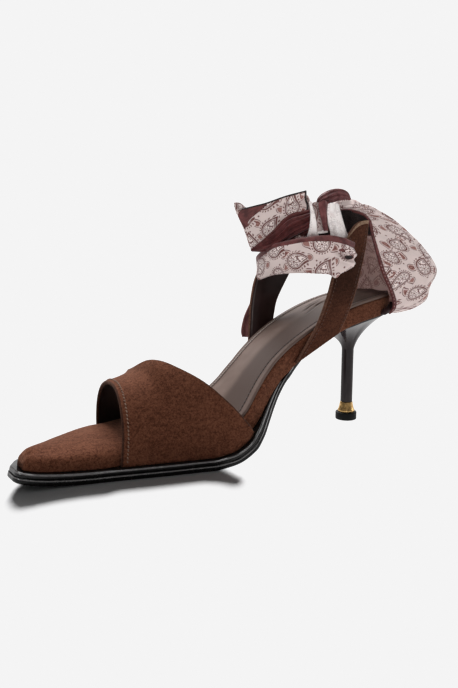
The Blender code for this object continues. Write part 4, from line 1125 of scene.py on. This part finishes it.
def panel_inside(u, v, s, t):
    """Reverse of the panel: the dark border at its edges, its corner low on the far side, the dark pleats under the
    knot, and near-black painted shade deeper in the hollow under the knot.
    """
    rise = np.clip((panel[:, :, 2] - 108.0) / 10.0, 0, 1)
    edges = np.maximum(2.0 + 3.6 * rise - t, 4.5 - (t[:, -1:] - t))
    corner = 9.0 - (t[:, -1:] - t) * 0.9 - s * 0.55
    pleats = (panel[:, :, 2] - 112.5) * 2.0
    # Painted shade: near-black deep in the hollow under the knot.
    painted_shade_deep = 60.0 * np.minimum(np.clip(pleats, -1, 2), t - 6.2)
    return np.maximum(np.maximum(np.maximum(edges, corner), pleats), painted_shade_deep)


panel_sheet = cloth("scarf_panel", panel, [silk, silk_back], flip=-1, shift=(4.0, 9.0), spin=1.65, dents=panel_dents,
                    border=lambda u, v, s, t: np.maximum(1.6 - t, 1.6 - (t[:, -1:] - t)),
                    border_in=panel_inside)
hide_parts("scarf_heel")


def roll(name, line, radius, material, sides=10, flat=1.0, shift=0.0):
    """Rolled cloth edge along a line."""
    pts = np.array(line)
    tangent = np.gradient(pts, axis=0)
    tangent /= np.linalg.norm(tangent, axis=1)[:, None]
    run = np.concatenate([[0], np.cumsum(np.linalg.norm(np.diff(pts, axis=0), axis=1))])
    up = np.cross(tangent, np.array((0.35, -0.9, 0.2)))
    up /= np.linalg.norm(up, axis=1)[:, None]
    out = np.cross(up, tangent)
    verts, coords = [], []
    for i in range(len(pts)):
        r = radius(i / (len(pts) - 1))
        for k in range(sides):
            a = 2 * math.pi * k / sides
            verts.append(pts[i] + r * (math.cos(a) * up[i] + math.sin(a) * out[i] * flat))
            coords.append((run[i] + shift, r * a, 0.0))
    faces = grid_faces(len(pts), sides, wrap=True)
    faces += [tuple(reversed(range(sides))), tuple((len(pts) - 1) * sides + k for k in range(sides))]
    return make_object(name, verts, faces, [material], coords=coords)


# The rolled edge is coloured as a painted highlight.
piping = roll("strap_inner_rolled_edge", strap_medial_grid[4:70, -1] + np.array((1.2, -0.9, 0.0)), lambda t: 1.25, lining_edge_painted_highlight, flat=0.7)
for side, column in (("outer", 0), ("inner", -1)):
    bound = roll(f"scarf_binding_{side}", panel[:150, column], lambda t: 1.35 - 0.75 * ease(0.40, 0.62, t), oxblood, flat=0.7)
# The turned-under corner is near-black painted shadow.
turned_under = roll("scarf_turned_under", resample([sight(*k) for k in ((391.5, 303.0, -18.6), (389.0, 308.4, -19.6), (385.6, 311.4, -20.2),
                                                                          (381.0, 314.2, -19.8))], 30),
                    lambda t: 1.5 + 0.5 * math.sin(math.pi * t) - 1.0 * ease(0.75, 1.0, t), shadow_silk, flat=0.8)
edge_line = panel[4:72, 0] + np.array((0.75, -0.9, 0.0))
pink = stitch_row("scarf_edge_stitches", edge_line + np.array((-1.2, 0.2, 0.0)), np.tile(np.array((-0.62, -0.78, 0.0)), (len(edge_line), 1)),
                  2.3, 1.5, 0.32, thread_pink, skip=0.5)

# ------------------------------------------------------------------ scarf: band across the front of the ankle
FRONT = table("x y z height thick", (
    (175.0, 28.0, 90.5, 12.0, 2.4), (168.0, 28.3, 92.0, 13.0, 2.6), (163.4, 26.4, 93.2, 13.6, 2.8), (161.0, 19.5, 95.8, 15.4, 3.4),
    (161.0, 9.0, 99.4, 16.8, 5.2), (163.6, -3.0, 101.8, 18.0, 6.0), (168.4, -14.0, 103.2, 19.5, 6.4), (175.0, -23.2, 103.6, 20.5, 5.6),
    (181.6, -27.6, 103.4, 18.0, 3.8), (188.6, -28.0, 103.6, 13.0, 2.4),
))
front_rows = resample(np.stack([FRONT[k] for k in ("x", "y", "z", "height", "thick")], axis=1), 190)
front_path = front_rows[:, :3]
front_side = np.gradient(front_path, axis=0)
front_side = np.stack([front_side[:, 1], -front_side[:, 0], np.zeros(len(front_side))], axis=1)
front_side /= np.linalg.norm(front_side, axis=1)[:, None]
FRONT_TURNS = 96
loop_rows = []
for i in range(len(front_path)):
    height, thick = front_rows[i, 3], front_rows[i, 4]
    ring = []
    for k in range(FRONT_TURNS + 1):
        a = math.pi / 2 - 2 * math.pi * k / FRONT_TURNS
        c, s = math.cos(a), math.sin(a)
        ring.append(front_path[i] + np.array((0, 0, 0.5 * height * math.copysign(abs(s) ** 0.75, s)))
                    + front_side[i] * 0.5 * thick * math.copysign(abs(c) ** 0.75, c))
    loop_rows.append(ring)
front = np.array(loop_rows)
_front_s = lengths(front)[0]
EYE_S, LUMP_S = float(np.interp(0.905, np.linspace(0, 1, 190), _front_s[:, 0])), float(np.interp(0.825, np.linspace(0, 1, 190), _front_s[:, 0]))


def eye(s, t):
    """Almond-shaped mouth where the band's end is tucked in: 0 at its middle, 1 on its rim."""
    lean = t - 8.6 - 0.10 * (s - EYE_S)
    return ((s - EYE_S) / 6.6) ** 2 + (lean / 3.3) ** 2, lean


def front_dents(u, v, s, t):
    """Slack folds along the band, the tucked mouth at its end and a lump of cloth below."""
    outer = np.clip(np.sin(np.pi * np.clip(v * 2, 0, 1)), 0, 1)
    folds = outer * (0.55 * np.sin(t * 0.75 + s * 0.10 + 0.8) * np.clip((s - 18) / 25, 0, 1)
                     + 0.35 * np.sin(t * 0.4 - s * 0.33))
    q, lean = eye(s, t)
    mouth = -2.6 * np.clip(1.15 - q, 0, 1) ** 0.8 * np.clip((lean + 4.0) / 3.0, 0, 1) + 0.9 * np.exp(-((q - 1.35) / 0.45) ** 2)
    lump = 2.6 * np.exp(-((s - LUMP_S) / 2.3) ** 2 - ((v - 0.47) / 0.05) ** 2)
    roll_top = 0.55 * np.exp(-((t - 1.2) / 1.3) ** 2)
    return folds + mouth * (v < 0.5) + lump + roll_top


def front_border(u, v, s, t):
    q, lean = eye(s, t)
    stripe = 3.7 + 2.2 * np.clip((0.46 - u) / 0.22, 0, 1) - t
    inner = 2.5 - (t[:, -1:] - t)
    crescent = np.where((v < 0.5) & (lean < -0.6), 0.62 - q - 0.10 * (s - EYE_S + 2.0) ** 2, -1.0)
    slant = lean - 0.5 + 0.45 * (s - EYE_S - 3.2)
    # Painted shade: the back of the tucked mouth is near-black.
    painted_shade_hollow = np.where(v < 0.5, 250.0 * (1.0 - ((s - EYE_S - 3.2) / 2.6) ** 2 - (slant / 1.15) ** 2), -1.0)
    return np.maximum(np.maximum(np.maximum(stripe, inner), crescent), painted_shade_hollow)


front_band = cloth("scarf_band", front, [silk, silk_back], flip=-1, shift=(21.0, 3.0), spin=0.1, dents=front_dents, border=front_border)
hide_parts("scarf_front")

# ------------------------------------------------------------------ scarf: bow wing
# Rows from the free end to the knot, as sighted from the camera: across, down and depth.
WING = (
    ((242.0, 208.6, 22.5), (238.0, 215.7, 24.5), (245.0, 230.0, 23.0), (249.0, 242.0, 21.0), (251.0, 251.0, 20.0)),
    ((255.0, 205.4, 17.0), (253.0, 214.0, 18.5), (256.0, 228.0, 18.0), (260.0, 240.0, 17.0), (263.0, 250.0, 16.0)),
    ((267.5, 202.2, 11.5), (267.5, 212.0, 12.5), (269.0, 225.0, 12.5), (272.0, 237.0, 12.0), (277.0, 247.0, 11.0)),
    ((286.0, 195.8, 3.5), (286.5, 206.0, 4.5), (287.0, 219.0, 5.0), (288.0, 232.0, 5.0), (291.0, 242.0, 4.0)),
    ((306.0, 190.2, -6.0), (307.8, 203.0, -6.6), (309.5, 213.0, -7.6), (310.0, 226.0, -8.0), (308.0, 236.0, -8.0)),
)
WING_BACK = (
    ((234.2, 202.4, 29.5), (234.4, 207.0, 30.0), (237.0, 214.5, 29.0), (244.0, 230.0, 27.0), (249.5, 247.0, 25.0)),
    ((240.0, 203.0, 27.5), (243.0, 210.5, 27.0), (247.0, 219.0, 26.0), (252.0, 232.0, 24.0), (256.0, 247.5, 22.5)),
    ((252.0, 209.0, 22.5), (255.0, 214.0, 22.0), (258.0, 222.0, 21.5), (262.0, 233.0, 20.5), (266.0, 246.0, 19.0)),
    ((280.0, 199.5, 11.5), (281.0, 208.0, 11.5), (282.0, 219.0, 11.0), (284.0, 231.0, 10.5), (286.0, 241.0, 9.5)),
    ((305.0, 194.5, 0.5), (306.0, 203.0, 1.0), (307.0, 213.0, 1.0), (307.5, 224.0, 0.5), (306.5, 233.0, -0.5)),
    ((311.0, 204.0, -6.5), (312.0, 210.0, -6.0), (313.0, 216.0, -6.0), (313.5, 223.0, -6.5), (314.0, 229.0, -7.0)),
)
WING_FOLD = (
    ((250.8, 249.6, 19.8), (250.8, 250.2, 19.2), (251.2, 250.8, 19.2), (251.8, 251.4, 19.6)),
    ((262.0, 240.5, 15.8), (262.8, 244.5, 12.6), (264.0, 248.5, 12.2), (266.0, 251.4, 14.4)),
    ((273.6, 229.7, 11.0), (276.0, 236.0, 6.6), (279.0, 242.5, 6.2), (281.5, 247.6, 8.8)),
    ((287.6, 215.4, 4.4), (290.5, 223.5, -1.4), (294.0, 233.0, -2.4), (297.0, 240.8, 0.8)),
    ((302.5, 211.2, -5.8), (305.5, 217.5, -9.4), (307.0, 226.5, -10.4), (306.5, 235.4, -7.8)),
    ((311.0, 209.0, -9.8), (312.5, 215.0, -12.2), (313.5, 223.0, -13.0), (314.0, 230.5, -11.8)),
)


def sighted(rows):
    return [[sight(*p) for p in r] for r in rows]


def wing_dents(u, v, s, t):
    pinch = np.clip((u - 0.45) / 0.5, 0, 1)
    return 0.5 * np.sin(v * 9.0 + u * 3.0) * (0.4 + 0.6 * u) + pinch * 0.7 * np.sin(v * 24.0 + 1.0)


def wing_border(u, v, s, t):
    """Dark border on the free corner and a thin hem along the top and beside the knot."""
    corner = 8.0 * (1.0 - s / 15.8 - t / 13.0) + 0.35 * np.sin(t * 1.1 + 0.4 * s)
    hem = np.maximum(0.95 - t, 0.9 - (s[-1:, :] - s))
    return np.where(hem > 0, 100.0, corner)


wing = patch(sighted(WING), 130, 110)
wing_back = patch(sighted(WING_BACK), 90, 70)
wing_fold = patch(sighted(WING_FOLD), 120, 80)


def fold_dents(u, v, s, t):
    rise = np.clip(u / 0.35, 0, 1) * np.clip(np.sin(np.pi * np.clip(v, 0.02, 0.98)) * 2.5, 0, 1)
    return rise * (0.85 * np.sin(v * 17.0 + 0.7 - 1.5 * u) + 0.45 * np.sin(v * 37.0 + 2.0 * u + 1.0) + 0.25 * np.sin(v * 61.0))


bow = cloth("scarf_wing", wing, [silk, silk], flip=1, shift=(2.0, 13.5), spin=0.0, dents=wing_dents, border=wing_border)
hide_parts("scarf_bow")
bow_back = cloth("scarf_wing_back", wing_back, [silk, silk], flip=1, shift=(31.0, 7.0), spin=0.6)
bow_fold = cloth("scarf_wing_fold", wing_fold, [oxblood, oxblood], flip=1, shift=(0.0, 0.0), dents=fold_dents)

# ------------------------------------------------------------------ scarf: knot
KNOT_CENTRE, KNOT_RADII = (179.2, -11.4, 121.4), (5.6, 7.4, 9.2)
KNOT_WHITE = (
    ((309.3, 202.5, -11.0), (311.0, 200.8, -13.0), (313.0, 202.5, -15.0)), ((310.6, 213.0, -12.0), (313.0, 212.5, -15.4), (315.6, 213.0, -16.5)),
    ((310.2, 223.0, -13.5), (313.8, 223.0, -17.0), (317.4, 223.0, -17.5)), ((308.8, 231.0, -12.0), (313.2, 231.5, -15.0), (318.2, 232.0, -17.0)),
    ((306.4, 238.0, -9.0), (312.0, 239.0, -11.0), (320.0, 240.0, -14.0)),
)
KNOT_PRINT = (
    ((312.0, 203.8, -15.8), (315.4, 201.8, -17.2), (319.2, 203.0, -17.3)), ((315.0, 214.0, -17.2), (317.6, 213.0, -18.6), (320.4, 213.4, -18.6)),
    ((316.6, 224.0, -17.8), (319.8, 224.0, -19.0), (323.2, 224.0, -19.0)), ((317.2, 231.6, -18.0), (321.2, 231.2, -18.8), (325.4, 231.0, -18.8)),
)
KNOT_BAND = (
    ((318.4, 203.4, -17.8), (323.0, 200.5, -19.4), (328.8, 202.4, -19.4)), ((319.2, 211.2, -19.0), (324.0, 209.5, -20.9), (329.0, 211.0, -20.2)),
    ((321.8, 220.6, -19.4), (324.6, 219.5, -20.9), (327.4, 220.5, -20.2)), ((324.0, 231.0, -19.3), (326.0, 230.6, -20.0), (328.2, 231.0, -19.7)),
)
KNOT_FOLDS = (
    ((328.0, 205.0, -19.4), (330.5, 203.0, -20.8), (334.0, 203.4, -20.2), (338.0, 203.5, -19.0)),
    ((326.6, 213.0, -19.8), (330.5, 212.0, -21.6), (335.0, 212.0, -21.2), (340.5, 212.0, -19.4)),
    ((327.6, 222.0, -19.9), (332.0, 222.0, -21.8), (337.5, 222.5, -21.6), (343.5, 223.0, -19.6)),
    ((330.0, 231.0, -19.8), (335.0, 231.5, -21.4), (341.0, 232.0, -21.0), (346.5, 232.0, -19.4)),
    ((331.0, 238.0, -19.5), (336.5, 238.0, -20.6), (342.5, 237.6, -20.2), (349.0, 237.0, -19.0)),
)
KNOT_CHIP = (
    ((317.6, 230.6, -17.8), (323.0, 230.2, -19.0), (328.2, 229.4, -19.0)), ((318.2, 233.6, -17.9), (323.0, 233.2, -18.8), (327.6, 232.6, -18.8)),
)


def bundle(name, pieces, materials):
    """Several strips of cloth in one object: each is its grid, its faces' materials and where its print starts."""
    verts, faces, kinds, coords = [], [], [], []
    for grid, slots, shift, dents in pieces:
        data = cloth_data(grid, flip=1, shift=shift, dents=dents)
        faces += [tuple(k + len(verts) for k in f) for f in data[1]]
        kinds += [slots[k] for k in data[2]]
        verts += [tuple(p) for p in data[0]]
        coords += [tuple(p) for p in data[3]]
    return make_object(name, verts, faces, materials, kinds, coords)


def ripples(count, depth, lean=0.0):
    return lambda u, v, s, t: depth * np.sin(v * math.pi * count + lean * u) * np.clip(np.sin(np.pi * v) * 2, 0, 1)


knot_strips = [
    (patch(sighted(KNOT_WHITE), 46, 24), (0, 1), (3.0, 6.0), ripples(3, 0.35)),
    (patch(sighted(KNOT_PRINT), 40, 20), (3, 3), (11.0, 4.0), ripples(2, 0.2)),
    (patch(sighted(KNOT_BAND), 40, 24), (2, 2), (0.0, 0.0), ripples(4, 0.35, 1.0)),
    (patch(sighted(KNOT_FOLDS), 46, 56), (0, 1), (17.0, 9.0), ripples(5, 0.6, 1.5)),
    (patch(sighted(KNOT_CHIP), 10, 20), (0, 1), (8.0, 2.0), ripples(2, 0.1)),
]
knot = bundle("scarf_knot_folds", knot_strips, [silk_light, silk_back, silk_loop, silk_shade])
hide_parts("scarf_knot")

# The knot's core: a near-black sheet of painted shadow that fills the dark gaps between the knot's strips.
verts, coords = [], []
RINGS, SPOKES = 40, 60
for i in range(RINGS + 1):
    b = math.pi * (i + 0.02) / (RINGS + 0.04)
    for k in range(SPOKES):
        a = 2 * math.pi * k / SPOKES
        r = 1.0 + 0.05 * math.sin(a * 7 + b * 2) * math.sin(b) + 0.03 * math.sin(a * 15)
        p = (math.sin(b) * math.cos(a) * r, math.sin(b) * math.sin(a) * r, math.cos(b))
        verts.append(tuple(KNOT_CENTRE[m] + KNOT_RADII[m] * p[m] for m in range(3)))
        coords.append((a * 6.0, b * 8.0, 0.0))
faces = grid_faces(RINGS + 1, SPOKES, wrap=True) + [tuple(range(SPOKES)), tuple(RINGS * SPOKES + k for k in reversed(range(SPOKES)))]
core = make_object("scarf_knot_core", verts, faces, [shadow_silk], coords=coords)


# ------------------------------------------------------------------ scarf: loop over the knot
def tube(name, knots, radii, material, turns=72, count=90, pleat=0.12, squash=1.0, lean=0.0):
    """Rolled cloth along a path, closed to a point at both ends, with pleats that run along it."""
    pts = resample([sight(*k) for k in knots], count)
    r = np.maximum(resample(np.array(radii)[:, None], count)[:, 0], 0.25)
    tangent = np.gradient(pts, axis=0)
    tangent /= np.linalg.norm(tangent, axis=1)[:, None]
    toward = np.tile(-LOOK, (count, 1))
    up = np.cross(toward, tangent)
    up /= np.linalg.norm(up, axis=1)[:, None]
    out = np.cross(tangent, up)
    verts, coords = [], []
    run = np.concatenate([[0], np.cumsum(np.linalg.norm(np.diff(pts, axis=0), axis=1))])
    for i in range(count):
        for k in range(turns):
            a = 2 * math.pi * k / turns
            wave = 1 + pleat * math.sin(a * 9 + lean * i / count) + 0.5 * pleat * math.sin(a * 16 + 1.0)
            verts.append(pts[i] + r[i] * wave * (math.cos(a) * up[i] + squash * math.sin(a) * out[i]))
            coords.append((run[i], r[i] * a, 0.0))
    faces = grid_faces(count, turns, wrap=True)
    faces += [tuple(reversed(range(turns))), tuple((count - 1) * turns + k for k in range(turns))]
    return make_object(name, verts, faces, [material], coords=coords), float(run[-1]), float(r.mean())


loop, loop_length, loop_r = tube("scarf_loop_roll", ((317.5, 206.0, -15.5), (321.5, 200.5, -15.5), (329.0, 197.0, -15.0), (337.5, 194.9, -15.0),
                                                     (345.0, 195.6, -15.5), (350.5, 199.6, -16.5)),
                                 (0.8, 2.3, 3.1, 3.1, 2.4, 0.5), silk_loop, lean=2.0)
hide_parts("scarf_loop")

# ------------------------------------------------------------------ scarf: end that hangs outside the inner strap
TAIL = table("x y z width", (
    (169.8, 27.8, 89.0, 10.4), (167.5, 27.2, 82.0, 11.4), (164.4, 26.6, 74.0, 12.4), (159.0, 25.8, 65.0, 12.6), (155.6, 25.0, 57.0, 11.2), (154.8, 24.6, 53.0, 8.6),
))
tail_rows = resample(np.stack([TAIL[k] for k in ("x", "y", "z", "width")], axis=1), 70)
tail = np.array([[(x + width * (j / 29 - 0.5), y + 0.7 * math.sin(j / 29 * 6.0), z - width * 0.12 * (j / 29 - 0.5)) for j in range(30)]
                 for x, y, z, width in tail_rows])
tail_end = cloth("scarf_end", tail, [silk_end_painted_light, silk_end_painted_light], flip=1, dents=lambda u, v, s, t: 0.3 * np.sin(v * 14.0))
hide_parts("scarf_tail")

# ------------------------------------------------------------------ scarf: flat sizes of the sheets, not used further
flat_size(panel)
flat_size(front)
flat_size(wing)
flat_size(wing_back)
flat_size(wing_fold)
flat_size(tail)
# The knot's strips lie side by side in the flat cloth.
strip_sizes = [flat_size(strip[0]) for strip in knot_strips]

# ------------------------------------------------------------------ camera, light and floor
cam = bpy.data.cameras.new("camera")
cam.sensor_width = 36.0
cam.lens = 760.0 * 36.0 / 688.0
cam.clip_start = 0.01
camera = bpy.data.objects.new("camera", cam)
camera.location = row(CAMERA)
camera.rotation_euler = (math.radians(90 - 10.36), 0.0, math.radians(-33.36))
bpy.context.scene.collection.objects.link(camera)
bpy.context.scene.camera = camera


def area_light(name, place, aim, size, power, colour=(1.0, 1.0, 1.0)):
    light = bpy.data.lights.new(name, "AREA")
    light.shape = "RECTANGLE"
    light.size, light.size_y = size
    light.energy = power
    light.color = colour
    obj = bpy.data.objects.new(name, light)
    obj.location = place
    obj.rotation_euler = (Vector(aim) - Vector(place)).to_track_quat("-Z", "Y").to_euler()
    bpy.context.scene.collection.objects.link(obj)
    return obj


ahead = np.array((math.sin(math.radians(33.36)), math.cos(math.radians(33.36))))
right = np.array((ahead[1], -ahead[0]))


def around(forward, sideways, height):
    """Place in the room: forward is away from the camera, sideways to its right."""
    p = ahead * forward + right * sideways
    return (float(p[0]), float(p[1]), height)


def sun(name, forward, sideways, height, spread, power):
    """Far soft light from a direction in the room."""
    light = bpy.data.lights.new(name, "SUN")
    light.energy = power
    light.angle = math.radians(spread)
    obj = bpy.data.objects.new(name, light)
    obj.rotation_euler = (-Vector(around(forward, sideways, height))).to_track_quat("-Z", "Y").to_euler()
    bpy.context.scene.collection.objects.link(obj)
    return obj


def reach(light, objects, state="INCLUDE", shade=None):
    """Let a light reach only these objects, or all but these; shade names the only things that cast its shadow."""
    group = bpy.data.collections.new(light.name + "_reach")
    for obj in objects:
        group.objects.link(obj)
    for item in group.collection_objects:
        item.light_linking.link_state = state
    light.light_linking.receiver_collection = group
    if shade:
        casters = bpy.data.collections.new(light.name + "_shade")
        for obj in shade:
            casters.objects.link(obj)
        light.light_linking.blocker_collection = casters


shoe_lights = [
    sun("sun_back", 0.62, -0.10, 0.80, 35.0, 3.4),
    sun("sun_top", 0.10, -0.30, 0.95, 50.0, 0.55),
    area_light("side_right", around(0.25, 0.95, 0.35), (0.08, 0.0, 0.06), (0.6, 0.5), 2.2),
    area_light("strip_top", around(-0.06, -0.10, 0.62), (-0.02, 0.0, 0.03), (0.9, 0.10), 1.9),
]
edge_light = area_light("edge_light", around(-0.60, -0.75, 0.25), (0.03, 0.0, 0.06), (0.20, 0.40), 1.6)
paper_light = sun("paper_light", 0.99, -0.05, math.tan(math.radians(28.0)), 12.0, 7.8)
scarf_light = sun("scarf_light", -0.93, -0.20, 0.32, 30.0, 0.7)

# Surroundings: a bright wall behind, a darker room in front.
world = bpy.data.worlds.new("studio")
bpy.context.scene.world = world
world.use_nodes = True
tree = world.node_tree
direction = tree.nodes.new("ShaderNodeTexCoord").outputs["Generated"]
facing = tree.nodes.new("ShaderNodeVectorMath")
facing.operation = "DOT_PRODUCT"
tree.links.new(direction, facing.inputs[0])
facing.inputs[1].default_value = (float(ahead[0]), float(ahead[1]), 0.0)
level = tree.nodes.new("ShaderNodeMapRange")
level.interpolation_type = "SMOOTHSTEP"
tree.links.new(facing.outputs["Value"], level.inputs[0])
for k, v in zip((1, 2, 3, 4), (0.60, 0.90, 0.07, 1.05)):
    level.inputs[k].default_value = v
tree.nodes["Background"].inputs[0].default_value = (1.0, 1.0, 1.0, 1.0)
tree.links.new(level.outputs[0], tree.nodes["Background"].inputs[1])

# Plain pale floor that runs out to the bright wall.
verts = [around(f, w, 0.0) for f in (-3.0, -0.8, 0.8, 3.0, 12.0) for w in (-8.0, -0.8, 0.8, 8.0)]
faces = grid_faces(5, 4)
mesh = bpy.data.meshes.new("floor")
mesh.from_pydata(verts, [], faces)
floor = bpy.data.objects.new("floor", mesh)
bpy.context.scene.collection.objects.link(floor)
g = Graph("floor_pale", Roughness=0.9, Specular_IOR_Level=0.0)
shade = g.noise(g.place(), 0.01, 2.0)
mesh.materials.append(g.out(Base_Color=g.mix(shade, (0.86, 0.86, 0.862), (0.88, 0.88, 0.882))))

# The paper has a light of its own, as in a studio, and the shoe's lights are flagged off it.
for light in shoe_lights:
    reach(light, [floor], "EXCLUDE")
reach(paper_light, [floor], shade=[toe_cover])
reach(edge_light, [strap_medial, piping, welt, outsole])
reach(scarf_light, [panel_sheet, front_band, bow, bow_back, knot, tail_end])

view = bpy.context.scene.view_settings
view.view_transform = "Standard"
view.look = "None"
view.exposure = 0.0
# White paper is a little overexposed: all of it comes out as one pale tone.
view.use_curve_mapping = True
curve = view.curve_mapping.curves[3]
curve.points[-1].location = (1.0, 0.905)
curve.points.new(0.86, 0.84)
curve.points.new(0.5, 0.5)
view.curve_mapping.extend = "HORIZONTAL"
view.curve_mapping.update()
